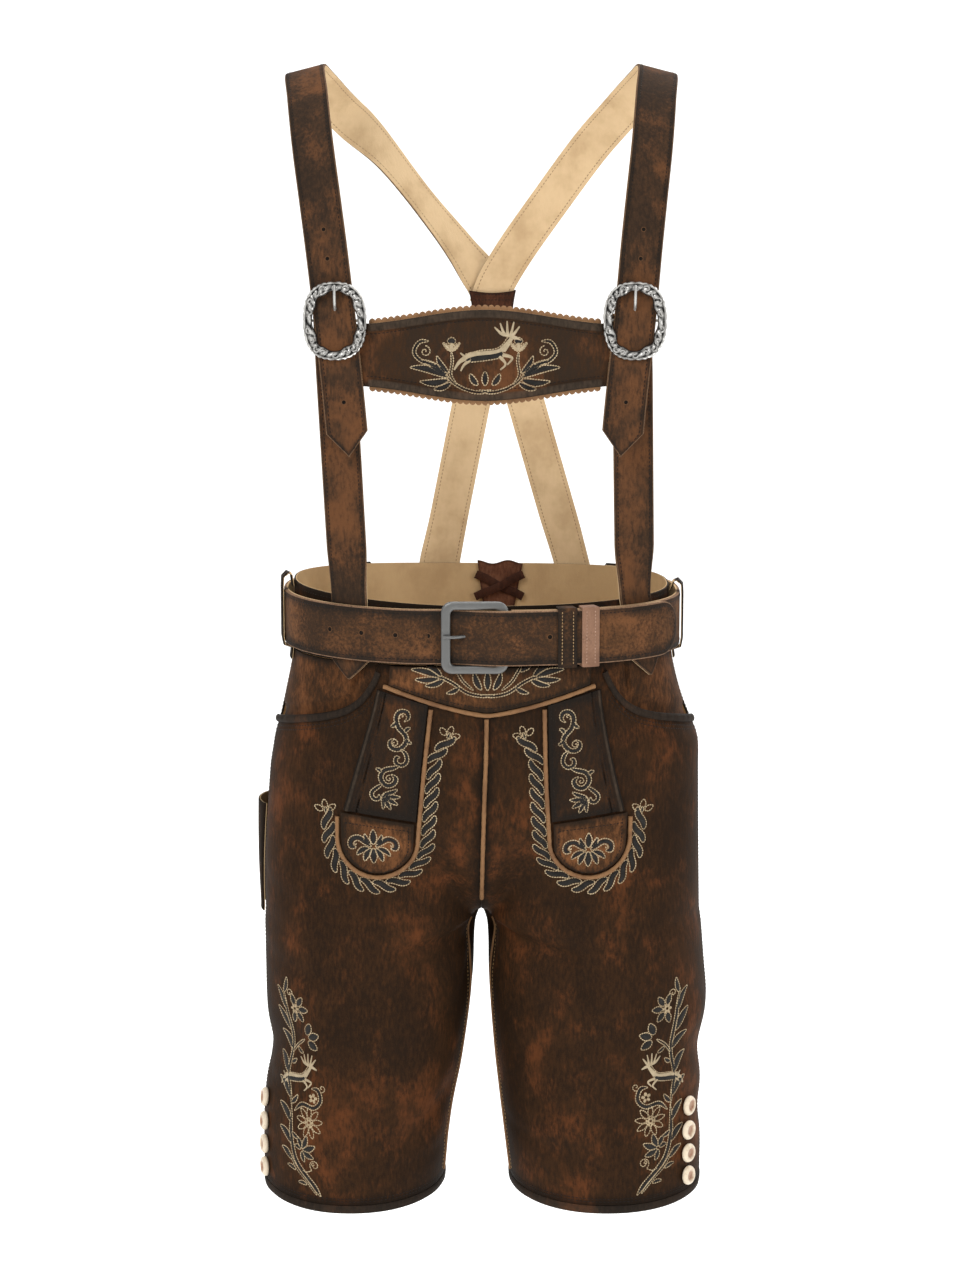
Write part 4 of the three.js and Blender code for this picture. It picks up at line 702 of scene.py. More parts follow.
def strip_place(side):
    def place(share, q, lift):
        z_in = blend(bib_edge(48) - 3.6, TAB["in"] + 0.8, q)
        z_out = blend(bib_edge(82.5) - 3.6, TAB["out"] + 0.8, q)
        z = blend(z_in, z_out, share)
        x = blend(read(PIPE_LINE, z)[0] + 2.6, read(RIDGE, z)[0] + 2, share)
        roll = 2.2 * strip_ridge(share, q) * (lift > ON_PANEL + 0.5)
        groove = -0.35 * np.exp(-((share - 0.875) / 0.012) ** 2) * (lift > ON_PANEL + 0.5)
        return front_at(flap_x(side, x, z), z, lift + roll + groove)
    return place


def tab_place(side):
    def place(p, q, lift):
        turn = math.pi / 2 * q ** 0.75
        half = np.maximum((TAB["round"] - 2.6) * np.cos(turn), 5)
        start = between(q, 0, 0.12)
        z = blend(blend(TAB["in"], TAB["out"], p) - 1, TAB["z"] - (TAB["round"] - 4) * np.sin(turn), start)
        return front_at(flap_x(side, TAB["x"] + blend(-half, half, p), z), z, lift)
    return place


PIPE = {"wide": 3.4, "tall": 2.2}


def arc_steps(route, pitch):
    """Even places along a route of points: their share of it, and its length."""
    steps = np.linalg.norm(np.diff(route, axis=0), axis=-1)
    run = np.concatenate([[0], np.cumsum(steps)])
    count = max(int(round(run[-1] / pitch)), 1)
    return np.interp(np.linspace(0, run[-1], count + 1), run, np.arange(len(route))), run[-1]


def along(route, places):
    """The route read at fractional indices."""
    return np.stack([np.interp(places, np.arange(len(route)), column) for column in route.T], -1)


def piping(name, route, node, base=ON_PANEL + 0.15):
    """A half-round welt of tan leather laid along (x, z) places of the front."""
    spots = front_at(route[:, 0], route[:, 1], base)
    out = unit(front_at(route[:, 0], route[:, 1], base + 1) - spots)
    across = unit(np.cross(np.gradient(spots, axis=0), out))
    swell = 1 + 0.05 * np.sin(np.arange(len(route)) * 1.3) + 0.04 * np.sin(np.arange(len(route)) * 0.37)
    across = across * swell[:, None] * PIPE["wide"] / 2
    out = out * swell[:, None] * PIPE["tall"]
    loops = [spots + across * a + out * h
             for a, h in [(-1, 0), (-0.98, 0.35), (-0.78, 0.72), (-0.4, 0.95), (0, 1.02), (0.4, 0.95),
                          (0.78, 0.72), (0.98, 0.35), (1, 0)]]
    dress(loops_mesh(name, np.stack(loops, 1), replaces=[node]), PIPING, "piping")


def plain_hide(name, base, worn, dark):
    """Undyed leather: an even colour with worn dark streaks and pores, and darker patches where both are low.
    """
    look, place, shader = start_look(name)
    streak = noise(stretched(place, 1, 1, 0.6), 60, 5, 0.65, 0.4)
    pore = noise(place, 900, 3, 0.6)
    colour = streak.step(0.42, 0.7).mix(base, worn)
    colour = ((pore * 0.5 + streak * 0.6).step(0.52, 0.36) * 0.55).mix(colour, dark)
    finish_look(shader, colour, 0.62 + pore * 0.15, pore + streak * 0.4, 0.0003)
    shader.inputs["Specular IOR Level"].default_value = 0.2
    return look


PIPING = plain_hide("tan_piping", (0.225, 0.116, 0.050), (0.145, 0.070, 0.031), (0.06, 0.029, 0.014))
bib_x = np.linspace(-BIB_HALF - 1, BIB_HALF + 1, 90)
bib_low = bib_edge(bib_x) - 1.2
piping("flap_bib_welt", np.stack([bib_x + read(FLAP_SHIFT, bib_low)[0], bib_low], -1), "flap_bib_piping")
centre_z = np.linspace(-65, -222, 110)
piping("centre_front_welt", np.stack([read(SWAY, centre_z)[0] + 0.02, centre_z], -1), "centre_front_piping")
for side in (-1, 1):
    word = WORD[side]
    # The strip's raised outer ridge carries a painted highlight through its ridge attribute.
    strip = shell(f"flap_strip_{word}_leather", strip_place(side),
                  np.concatenate([crowded(26, 0.02)[:-8], np.linspace(0.8, 0.985, 26), [0.993, 1.0]]),
                  crowded(64, 0.006), ON_PANEL, ON_PANEL + 1.4, 0.6, node=f"flap_strip_{word}",
                  ridge=strip_ridge)
    dress(strip, DARK_HIDE, "hide",
          flat=(0.064, 0.106), area=0.0051, held="hung", rests_on=[f"front_{word}"])
    tab = shell(f"flap_tab_{word}_leather", tab_place(side), crowded(46, 0.01), crowded(40, 0.01),
                ON_PANEL + 0.3, ON_PANEL + 1.7, 0.6, node=f"flap_tab_{word}")
    dress(tab, FLAP_HIDE, "hide", flat=(0.061, 0.05), area=0.0024, held="hung", rests_on=[f"front_{word}"])
    down = np.linspace(-57.5, TAB["z"], 80)[:-1]
    turn = np.linspace(0, math.pi, 70)
    round_x = TAB["x"] - TAB["round"] * np.cos(turn)
    round_z = TAB["z"] - TAB["round"] * np.sin(turn)
    up = np.linspace(TAB["z"], TAB["end"], 10)[1:]
    x = np.concatenate([read(PIPE_LINE, down)[0], round_x, 0 * up + TAB["x"] + TAB["round"]])
    z = np.concatenate([down, round_z, up])
    piping(f"flap_welt_{word}", np.stack([flap_x(side, x, z), z], -1), f"flap_piping_{word}")

# ---- Knife pocket and horn buttons ----
# A long slim pocket stands off the wearer's right thigh, for a knife with a stag-horn grip. Four
# turned horn buttons, pale at the rim and brown in the dished middle, close each leg's side.
def knife_place(p, q, lift):
    around = blend(0.485, 0.59, p) - 0.012 * np.sin(math.pi * q) * (2 * p - 1)
    bulge = 7.5 * np.sin(math.pi * np.clip(p, 0, 1)) ** 0.6 * (1 - 0.55 * q)
    return skin(-1, around, blend(-157, -251, q), lift + bulge)


knife = shell("knife_pocket_leather", knife_place, crowded(46, 0.008), crowded(60, 0.005), 0.7, 2.4, 0.7,
              node="knife_pocket")
dress(knife, HIDE, "hide",
      flat=(0.065, 0.095), area=0.0058, held="hung", rests_on=["front_right", "back_right"])

BUTTON = {"radius": 8.2, "thick": 5, "sides": 32, "first": -404, "pitch": 19.5,
          "x": {-1: 176, 1: 174.5}, "seat": {-1: 0.3, 1: 0.87}}
horn, place, shader = start_look("stag_horn")
rim = attribute(place, "rim")
ring_lines = noise(place, 330, 4, 0.65, 0.6)
swirl = noise(place, 95, 3, 0.6, 0.8)
brown = (rim + (swirl - 0.5) * 0.8).step(0.72, 0.38)
horn_colour = brown.mix((0.69, 0.58, 0.43), (0.25, 0.1, 0.045))
horn_colour = ((ring_lines * 0.7 + rim * 0.2).step(0.52, 0.4) * 0.4).mix(horn_colour, (0.42, 0.27, 0.15))
finish_look(shader, horn_colour, 0.34 + ring_lines * 0.18, ring_lines, 0.00015)
shader.inputs["Coat Weight"].default_value = 0.25
button_profile = [(0, 0), (0.7, 0), (0.86, 0.06), (0.97, 0.22), (1.0, 0.42), (0.97, 0.62), (0.88, 0.85),
                  (0.76, 0.98), (0.64, 0.97), (0.5, 0.82), (0.36, 0.7), (0.18, 0.66), (0, 0.65)]


def turned(count):
    """Even angles once round."""
    return np.arange(count) / count * 2 * math.pi


def spokes(way, hint, count):
    """Unit arrows all round one direction, or round each of several."""
    east = unit(np.cross(way, hint))
    north = np.cross(way, east)
    angle = turned(count)[:, None]
    return np.cos(angle) * east[..., None, :] + np.sin(angle) * north[..., None, :]


for side in (-1, 1):
    word = WORD[side]
    for k in range(4):
        z = BUTTON["first"] - BUTTON["pitch"] * k
        x = side * BUTTON["x"][side] + float(read(SWAY, np.array([z]))[0][0])
        seat = front_at(x, z, BUTTON["seat"][side])
        out = unit(front_at(x, z, BUTTON["seat"][side] + 1) - seat)
        oval = 1 + 0.025 * np.sin(2 * turned(BUTTON["sides"]) + k)
        circle = spokes(out, [0.1 * k, 0.0, 1.0], BUTTON["sides"]) * oval[:, None] * BUTTON["radius"]
        loops = np.stack([seat + circle * max(r, 0.02) + out * h * BUTTON["thick"]
                          for r, h in button_profile])
        button = loops_mesh(f"button_{word}_{k + 1}_horn", loops, replaces=[f"button_{word}_{k + 1}"],
                            rim=np.repeat([r for r, h in button_profile], BUTTON["sides"]))
        dress(button, horn, "horn")

# ---- Belt ----
# A 44 mm belt of thick brown hide with raw tan edges: one end is sewn to a plain pewter frame, and
# the other passes through it, under two keepers and on round the wearer's left side.
BELT = {"low": -20, "high": 24, "thick": 3.5, "offset": 4.6, "half_round": 400, "tip": 20}
WAIST_Z, WAIST_AROUND = -14, 425


def waist_around(side, around, z, lift):
    point = skin(side, around, WAIST_Z + 0 * z, lift)
    point[..., 2] = z + np.where(np.asarray(side) < 0, 3, 0) * np.sin(math.pi * around) ** 4
    return point


def round_place(x):
    """Signed share round the waist of a place x on the front: minus on the right."""
    side, around = front_around(np.array([float(x)]), np.array([float(WAIST_Z)]))
    return float(side[0] * around[0])


BELT_LEATHER = rubbed_leather("rubbed_belt_leather", (0.078, 0.037, 0.017), (0.145, 0.062, 0.026),
                              (0.0145, 0.0125, 0.0105), 12, 0.75, raw=(0.30, 0.175, 0.105), streak=1.0)
free_keys = [(-0.5, 4.6), (round_place(-60), 4.6), (round_place(-28), 1.7), (round_place(17), 10.1),
             (round_place(48), 8.6), (0.5, 8.6)]
tip_place = round_place(147)


def free_lift(place):
    lift = np.full(np.shape(place), free_keys[-1][1], float)
    for (a, low), (b, high) in reversed(list(zip(free_keys, free_keys[1:]))):
        lift = np.where(place < b, blend(low, high, between(place, a, b)), lift)
    return lift


def tip_round(share):
    left = (1 - share) * (tip_place + 0.5) * BELT["half_round"] / BELT["tip"]
    return np.where(left > 1, 1, np.sqrt(1 - (1 - np.clip(left, 0.02, 1)) ** 2))


def free_belt(share, q, lift):
    place = blend(-0.5 + SEAM / AROUND / 2, tip_place, share)
    half = (BELT["high"] - BELT["low"]) / 2 * tip_round(share)
    z = (BELT["high"] + BELT["low"]) / 2 + blend(-half, half, q)
    crown = 0.25 * np.sin(math.pi * q) * (lift > 1)
    return waist_around(np.where(place < 0, -1.0, 1.0), np.abs(place), z, free_lift(place) + lift + crown)


belt_end = round_place(23)


def rear_belt(share, q, lift):
    t = blend(belt_end, 1.5 - SEAM / AROUND / 2, share)
    side = np.where(t < 1, 1.0, -1.0)
    return waist_around(side, np.where(t < 1, t, 2 - t), blend(BELT["low"], BELT["high"], q),
                        BELT["offset"] + lift)


tip_shares = 1 - (1 - np.linspace(0, 1, 40)) ** 2 * 0.05
straight = crowded(160, 0.0024)
straight = straight[straight < tip_shares[0] - 0.002]
front_belt = shell("belt_front_strap", free_belt, np.concatenate([straight, tip_shares]),
                   crowded(22, 0.018), 0, BELT["thick"], 1.0, node="belt_front")
rear = shell("belt_rear_strap", rear_belt, crowded(200, 0.0026), crowded(22, 0.018), 0, BELT["thick"], 1.0,
             node="belt_rear")
for piece, cut in [(front_belt, (0.39, 0.044)), (rear, (0.62, 0.044))]:
    dress(piece, BELT_LEATHER, "hide", flat=cut, held="stretched", rests_on=["waistband_front"])

HOLE_LOOK, place, shader = start_look("punched_hole")
# The mouth's near-black mottle is painted shade, where one would look into the dark of the hole.
hole_shade = noise(place, 700).step(0.3, 0.8).mix((0.006, 0.005, 0.004), (0.016, 0.012, 0.009))
finish_look(shader, attribute(place, "rim").step(0.3, 0.8).mix(hole_shade, (0.105, 0.052, 0.025)), 0.8)
shader.inputs["Specular IOR Level"].default_value = 0.04


def hole(name, centre, out, radius, depth):
    """A punched hole: its dark mouth, a near-black disc on the uncut leather painted as shade, and round it a
    worn pale rim just proud of the leather.
    """
    circle = spokes(out, [0.13, 0.21, 0.97], 20)
    section = [(0.02, 0.04, 0), (0.9, 0.05, 0), (1.0, 0.1, 0.5), (1.16, 0.12, 1), (1.3, 0.03, 1),
               (1.3, -depth, 1), (0.02, -depth, 0)]
    loops = [centre + circle * r * radius + out * h for r, h, _ in section]
    piece = loops_mesh(name, np.stack(loops), rim=np.repeat([worn for _, _, worn in section], 20))
    dress(piece, HOLE_LOOK, "hide")


for k, x in enumerate([-117, -93, -67, -42, 52]):
    place = round_place(x)
    top = free_lift(place) + BELT["thick"] + 0.25
    spot = [waist_around(np.sign(place), abs(place), np.array(3.0), top + up) for up in (0, 1)]
    hole(f"belt_hole_{k + 1}", spot[0], unit(spot[1] - spot[0]), 1.75, 0.5)

FRAME = {"left": -32.5, "right": 21, "low": -27, "high": 31, "wide": 7.5, "thick": 4, "base": 5.6}
front_y = float(front_at(np.array([-6.0]), np.array([2.0]))[0, 1])


def cast_metal(name, light, dark, rough, wear=90, pits=520, depth=0.00025):
    """Old cast metal: pale where it is rubbed, black in its hollows, with fine pits."""
    look, place, shader = start_look(name)
    cloud = noise(place, wear, 4, 0.6, 0.3)
    pit = noise(place, pits, 3, 0.65)
    low = attribute(place, "low")
    grime = (low * 1.05 + (cloud - 0.5) * 0.5 + (pit - 0.5) * 0.45).step(0.35, 0.75)
    finish_look(shader, grime.mix(light, dark), rough + cloud * 0.18 + grime * 0.2, pit + cloud * 0.5, depth,
                metal=0.9)
    return look


PEWTER = cast_metal("aged_pewter", (0.158, 0.158, 0.154), (0.036, 0.036, 0.035), 0.38, 60, 300)


def rounded_outline(x0, x1, z0, z1, radius, count=12):
    points = []
    for cx, cz, start in [(x1 - radius, z0 + radius, -90), (x1 - radius, z1 - radius, 0),
                          (x0 + radius, z1 - radius, 90), (x0 + radius, z0 + radius, 180)]:
        for k in range(count + 1):
            angle = math.radians(start + 90 * k / count)
            points.append((cx + radius * math.cos(angle), cz + radius * math.sin(angle)))
    return np.array(points)


outer_line = rounded_outline(FRAME["left"], FRAME["right"], FRAME["low"], FRAME["high"], 9)
inner_line = rounded_outline(FRAME["left"] + FRAME["wide"], FRAME["right"] - FRAME["wide"],
                             FRAME["low"] + 6.5, FRAME["high"] - 6.5, 4)
section = [(0, 1.3), (0.06, 0.6), (0.16, 0.15), (0.3, 0), (0.7, 0), (0.84, 0.15), (0.94, 0.6), (1, 1.3),
           (1, 3.2), (0.9, 4), (0.1, 4), (0, 3.2)]
frame_loops = []
for share, back in section:
    line = blend(outer_line, inner_line, share)
    y = front_y - FRAME["base"] - FRAME["thick"] + back
    frame_loops.append(np.stack([line[:, 0], y + 0 * line[:, 0], line[:, 1]], -1))
low = np.tile([0.45 if back > 1 else 0.1 for share, back in section], len(outer_line))
buckle = loops_mesh("belt_buckle_frame", np.stack(frame_loops, 1), ring=True, replaces=["belt_buckle"],
                    low=low)
dress(buckle, PEWTER, "pewter")


def rod(name, route, radii, look, slot, node=None, sides=14):
    """A round bar through points, one radius for each, closed at both ends."""
    ring = spokes(unit(np.gradient(route, axis=0)), [0.31, 0.17, 0.93], sides)
    loops = route[:, None] + ring * np.asarray(radii)[:, None, None]
    dress(loops_mesh(name, loops, replaces=[node] if node else (),
                     low=np.full(loops[..., 0].size, 0.15)), look, slot)


prong_points = np.array([(12.6, 6.6), (4, 5), (-6, 3.4), (-12, 5.4), (-17, 9), (-23, 11.6), (-31, 11.4)])
places = np.linspace(0, len(prong_points) - 1, 40)
smooth = along(prong_points, places)
smooth[1:-1] = (smooth[:-2] + 2 * smooth[1:-1] + smooth[2:]) / 4
rod("belt_prong_rod", np.stack([smooth[:, 0], front_y - smooth[:, 1], 3 + 0 * places], -1),
    blend(1.5, 1.25, places / 6), PEWTER, "pewter", "belt_prong")

RAW = plain_hide("raw_pink_leather", (0.235, 0.128, 0.08), (0.17, 0.088, 0.054), (0.075, 0.038, 0.024))
KEEPERS = [("belt_keeper_stitched", 58, 72, BELT_LEATHER, "hide"),
           ("belt_keeper_plain", 76, 88.5, RAW, "piping")]
KEEPER_TOP = BELT["offset"] + 2 * BELT["thick"] + 1
for node, x0, x1, look, slot in KEEPERS:
    a0, a1 = round_place(x0), round_place(x1)
    low, high = BELT["low"] - 0.5, BELT["high"] + 0.5
    inner, outer = BELT["offset"] - 0.3, KEEPER_TOP
    corners = [(low, inner), (low, outer), (high, outer), (high, inner)]
    middle = (np.mean([c[0] for c in corners]), np.mean([c[1] for c in corners]))
    line = []
    for k in range(4):
        (z, h), (z2, h2) = corners[k], corners[(k + 1) % 4]
        for t in np.linspace(0, 1, 14, endpoint=False):
            line.append((blend(z, z2, t), blend(h, h2, t)))
    line = np.array(line)
    across = []
    for share, out in [(0, 0), (0, 1.1), (0.05, 1.5), (0.5, 1.55), (0.95, 1.5), (1, 1.1), (1, 0)]:
        away = np.stack([np.sign(line[:, 0] - middle[0]) * (np.abs(line[:, 0] - middle[0]) > 22.3),
                         np.sign(line[:, 1] - middle[1]) * (np.abs(line[:, 1] - middle[1]) > 3.9)], -1)
        moved = line + away * out
        across.append(waist_around(1.0, np.full(len(line), blend(a0, a1, share)), moved[:, 0], moved[:, 1]))
    keeper = loops_mesh(node + "_band", np.stack(across, 1), ring=True, replaces=[node],
                        edge=np.tile([2.0, 1.5, 3, 7, 3, 1.5, 2.0], len(line)))
    dress(keeper, look, slot)

LOOPS = [("belt_loop_side_right", -1, 0.455, 8.4, 0), ("belt_loop_side_left", 1, 0.468, 8.6, 4),
         ("belt_loop_back_right", -1, 0.74, 8.2, 7), ("belt_loop_back_left", 1, 0.76, 8.2, 8)]
LOOP_LINE = np.array([(-31, 0), (-24.5, 0), (-22, 0.85), (-15, 1), (6, 1), (26, 1), (34, 0.95), (38, 0.5),
                      (36.5, 0.12), (29.5, 0)], float)
for node, side, around, proud, drop in LOOPS:
    def loop_place(across, share, lift, side=side, around=around, proud=proud, drop=drop):
        line = along(LOOP_LINE, np.ravel(share) * (len(LOOP_LINE) - 1)).reshape(*share.shape, 2)
        z, out = line[..., 0], line[..., 1]
        height = np.where(z > 0, z - drop, z) - 0.8 * between(z, 35.5, 36.5) * (lift < 0.8)
        a = around + across * 7 / WAIST_AROUND
        up = ON_PANEL + out * proud + lift
        bent = between(out, 0, 0.1)[..., None]
        return blend(skin(side, a, height, up), waist_around(side, a, height, up), bent)
    loop = shell(node + "_strip", loop_place, crowded(10, 0.05, -1, 1), crowded(90, 0.004), 0, 1.6, 0.6,
                 node=node)
    dress(loop, HIDE, "hide", flat=(0.014, 0.083), held="stretched", rests_on=["belt_rear"])

# ---- Braces ----
# Two long straps of doubled leather, dark outside and pale inside, run from stitched points in
# front through cast silver buckles, over the shoulders and down to the crossing at the back.
STRAP = {"width": 32.5, "rear": 33, "thick": 3, "tip": 17}
UPPER = [(105.8, -122.6, 147, 0, -1, 0), (110.5, -123.5, 200, 0, -1, 0), (116, -123.5, 253, 0, -1, 0),
         (121.4, -117, 305, 0.05, -1, 0.12), (126.2, -106, 344, 0.1, -1, 0.3),
         (132, -86, 386, 0.14, -1, 0.6), (137, -52, 424, 0.2, -0.75, 0.9), (140.5, -8, 443, 0.25, 0, 1),
         (133, 32, 434, 0.25, 0.6, 0.9), (113, 62, 410, 0.3, 1, 0.55)]
UPPER_BACK = {
    -1: [(-83, 88, 381.5, -1.8, 1, 0.1), (-44, 106, 332, -2.3, 1, 0), (-18, 119, 298, -1.2, 1, 0),
         (1.5, 119.9, 270, -0.05, 1, 0), (11, 119.5, 248, 0, 1, 0)],
    1: [(88.5, 88, 380.5, 0.2, 1, 0.3), (53.5, 104, 332, 0.1, 1, 0.1), (28.5, 112, 296, 0, 1, 0),
        (12, 116, 268, 0, 1, 0), (5, 116, 248, 0, 1, 0)]}
BUCKLE_Z = 253


def brace_shift(z):
    return blend(2.2, -0.5, np.clip((z - BUCKLE_Z) / (443 - BUCKLE_Z), 0, 1))


def curve_through(stations, t):
    """A smooth curve through the stations, read at shares t, as a steady Catmull-Rom spline."""
    ends = np.vstack([2 * stations[0] - stations[1], stations, 2 * stations[-1] - stations[-2]])
    place = np.clip(t, 0, 1) * (len(stations) - 1)
    k = np.minimum(place.astype(int), len(stations) - 2)
    w = (place - k)[..., None]
    p0, p1, p2, p3 = (ends[k + i] for i in range(4))
    first, second = (p2 - p0) / 2, (p3 - p1) / 2
    return ((2 * p1 - 2 * p2 + first + second) * w ** 3 + (-3 * p1 + 3 * p2 - 2 * first - second) * w ** 2
            + first * w + p1)


def strap_place(stations, width, tip):
    spots, facing = stations[:, :3], stations[:, 3:]
    fine = curve_through(spots, np.linspace(0, 1, 400))
    total = np.linalg.norm(np.diff(fine, axis=0), axis=-1).sum()

    def place(across, t, lift):
        spot = curve_through(spots, t)
        further, nearer = (curve_through(spots, np.clip(t + step, 0, 1)) for step in (1e-4, -1e-4))
        ahead = unit(further - nearer)
        out = curve_through(facing, t)
        out = unit(out - ahead * np.sum(out * ahead, -1, keepdims=True))
        side_way = np.cross(ahead, out)
        half = width / 2 * np.clip(t * total / tip, 0.04, 1)
        return spot + side_way * (across * half)[..., None] + out * np.asarray(lift)[..., None]
    return place, total


STRAP_LEATHER = rubbed_leather("rubbed_strap_leather", (0.048, 0.026, 0.0145), (0.113, 0.048, 0.0205),
                              (0.015, 0.0115, 0.009), 5.5, 0.6, raw=(0.17, 0.095, 0.052),
                              lining=(0.64, 0.47, 0.28))
SILVER = cast_metal("antique_silver", (0.46, 0.45, 0.43), (0.012, 0.0115, 0.011), 0.3, 160, 900, 0.0001)
RING = {"round": 2.5, "x": 24.3, "z": 30, "band": 8.0, "thick": 4.2, "gap": 0.65}
SUNK = STRAP["thick"] + RING["gap"] + 1.55       # the bar's middle, behind the strap
CURLS = {"count": 18, "steps": 16}
FORWARD = np.array([0, -1, 0])
strap_at = {}
for side in (-1, 1):
    word = WORD[side]
    rows = [(side * x + brace_shift(z), y, z, side * nx, ny, nz) for x, y, z, nx, ny, nz in UPPER]
    place, total = strap_place(np.array(rows + UPPER_BACK[side], float), STRAP["width"], STRAP["tip"])
    strap_at[side] = place
    tip_end = STRAP["tip"] / total
    tip = np.array([0, 0.0006, 0.0012, 0.002, 0.0032, 0.0048, 0.0066, 0.0086, 0.0108, 0.0132, 0.0158, 0.019,
                    tip_end - 0.0012, tip_end, tip_end + 0.0012])
    steps = np.concatenate([tip[tip < tip_end + 0.002], np.linspace(tip_end + 0.003, 1, 205)])
    strap = shell(f"brace_upper_{word}_strap", lambda a, t, lift: place(a, t, lift + 0 * a),
                  crowded(18, 0.02, -1, 1), np.unique(steps), 0, STRAP["thick"], 0.9,
                  node=f"brace_upper_{word}")
    dress(strap, STRAP_LEATHER, "hide",
          flat=(0.0325, 0.78), held="stretched", rests_on=[f"brace_buckle_{word}"])
    share = np.linspace(0, 0.35, 400)
    heights = place(0 * share, share, 0 * share)[:, 2]
    for k, z in enumerate([300, 322, 190]):
        t = np.interp(z, heights, share)
        inner, up, outer = place(np.zeros(3), np.full(3, t), np.array([0.0, 1.0, STRAP["thick"]]))
        out = unit(up - inner)
        hole(f"brace_hole_{word}_{k + 1}_out", outer, out, 1.5, 0.4)
        hole(f"brace_hole_{word}_{k + 1}_in", inner, -out, 1.5, 0.4)

    # The cast buckle: a rounded square ring with a beaded rim and curling leaves, and a plain prong.
    centre = np.array([side * UPPER[2][0] + 2.2, UPPER[2][1] - STRAP["thick"] - RING["gap"], BUCKLE_Z])
    angle = turned(288)
    c, s = np.cos(angle), np.sin(angle)
    square = [np.sign(v) * np.abs(v) ** (2 / RING["round"]) for v in (c, s)]
    rim = np.stack([square[0] * RING["x"], 0 * c, square[1] * RING["z"]], -1)
    out = np.stack([c, 0 * c, s], -1)
    scallop = 0.55 * np.abs(np.sin(angle * 18)) - 0.35
    inner_wave = 0.9 * np.cos(angle * 8) + 0.5 * np.cos(angle * 4 + 0.6)
    loops, hollow = [], []
    for share, up in [(1.0, 0.0), (1.03, 0.45), (0.96, 0.8), (0.86, 0.72), (0.76, 0.5), (0.66, 0.62),
                      (0.52, 0.86), (0.38, 0.8), (0.24, 0.6), (0.14, 0.75), (0.05, 0.55), (0.0, 0.0)]:
        leaf = 0.16 * np.sin(angle * 24 + share * 7) * np.exp(-((share - 0.45) / 0.28) ** 2)
        bead_line = 0.12 * np.abs(np.sin(angle * 18)) * (share > 0.8)
        reach = (share - 1) * RING["band"] + scallop * between(share, 0.7, 1.0)
        reach = reach + inner_wave * between(share, 0.3, 0)
        height = np.maximum((up + (leaf + bead_line) * (up > 0.3)) * RING["thick"] * 0.92, 0)
        loops.append(centre + rim + out * reach[:, None] + FORWARD * height[:, None])
        hollow.append(np.clip(1.0 - (up + leaf * 2.6) * 0.75 - 0.5 * bead_line * 8 * (share > 0.8), 0.05, 1))
    ring = loops_mesh(f"brace_buckle_{word}_ring", np.stack(loops, 1), ring=True,
                      replaces=[f"brace_buckle_{word}"], low=np.stack(hollow, 1))
    dress(ring, SILVER, "silver")
    leaves, faces, dark = [], [], []
    for k in range(CURLS["count"]):
        middle = (k + 0.5) / CURLS["count"] * 2 * math.pi
        turn = 1 if k % 2 else -1
        spiral = np.linspace(0, 1, CURLS["steps"])
        bend = turn * (spiral * 5.2)
        size = 2.9 * (1 - 0.78 * spiral)
        cm, sm = math.cos(middle), math.sin(middle)
        root = np.array([np.sign(cm) * abs(cm) ** 0.8 * RING["x"], 0,
                         np.sign(sm) * abs(sm) ** 0.8 * RING["z"]])
        outwards = np.array([cm, 0, sm])
        tangent = np.array([-sm, 0, cm])
        base = root - outwards * RING["band"] * 0.5
        proud = RING["thick"] * 0.78 + 0.25 * np.sin(spiral * math.pi)
        line = (centre + base + np.cos(bend)[:, None] * tangent * size[:, None] * turn
                + np.sin(bend)[:, None] * outwards * size[:, None] + FORWARD * proud[:, None])
        belly = np.sin(np.clip(spiral * 0.93 + 0.1, 0, 1) * math.pi) ** 0.5
        radii = 0.75 * belly * (1 - 0.45 * spiral) + 0.12
        tube = line[:, None] + spokes(unit(np.gradient(line, axis=0)), [0, 1, 0], 7) * radii[:, None, None]
        index = np.arange(spiral.size * 7).reshape(-1, 7) + spiral.size * 7 * k
        faces += quads(np.concatenate([index, index[:, :1]], 1)).tolist()
        faces += [index[0][::-1].tolist(), index[-1].tolist()]
        leaves.append(tube.reshape(-1, 3))
        dark.append(np.tile(0.05 + 0.4 * (np.sin(turned(7) + 0.5) > 0.6), spiral.size))
    curls = mesh_piece(f"brace_buckle_{word}_curls", np.concatenate(leaves), faces, low=np.concatenate(dark))
    dress(curls, SILVER, "silver")
    bar_line = np.array([(-19.5, -1.5, 0), (-18.6, 1.5, 0), (-17.6, SUNK, 0),
                         (17.6, SUNK, 0), (18.6, 1.5, 0), (19.5, -1.5, 0)])
    rod(f"brace_bar_{word}", centre + bar_line, [1.2] * 6, SILVER, "silver")
    prong_line = along(np.array([(0, SUNK - 0.6, 4.2), (0, 2.6, 8), (0, -2.4, 13), (0, -5.4, 20),
                                 (0, -5.9, 24), (0, -5.7, 28)], float), np.linspace(0, 5, 24))
    rod(f"brace_prong_{word}_rod", centre + prong_line, blend(1.35, 1.0, np.linspace(0, 1, 24)), SILVER,
        "silver", f"brace_prong_{word}")

# ---- Lower straps, crossing and patches ----
# In front two straps hang from the buckles to stitched points behind the belt; two more, their
# pale inner sides towards the front, run down from the patched crossing to the back of the waist.
LOWER = [("brace_lower_right", False, -104.5, -104.5, (-115.5, -116.4, 258)),
         ("brace_lower_left", False, 132, 123.5, (115.8, -116.4, 258)),
         ("brace_rear_right", True, -40.5, -31.5, (4.8, 116, 236)),
         ("brace_rear_left", True, 81, 75.5, (17.5, 119.4, 236))]
FOOT_Z, BELT_TOP = -36, 30


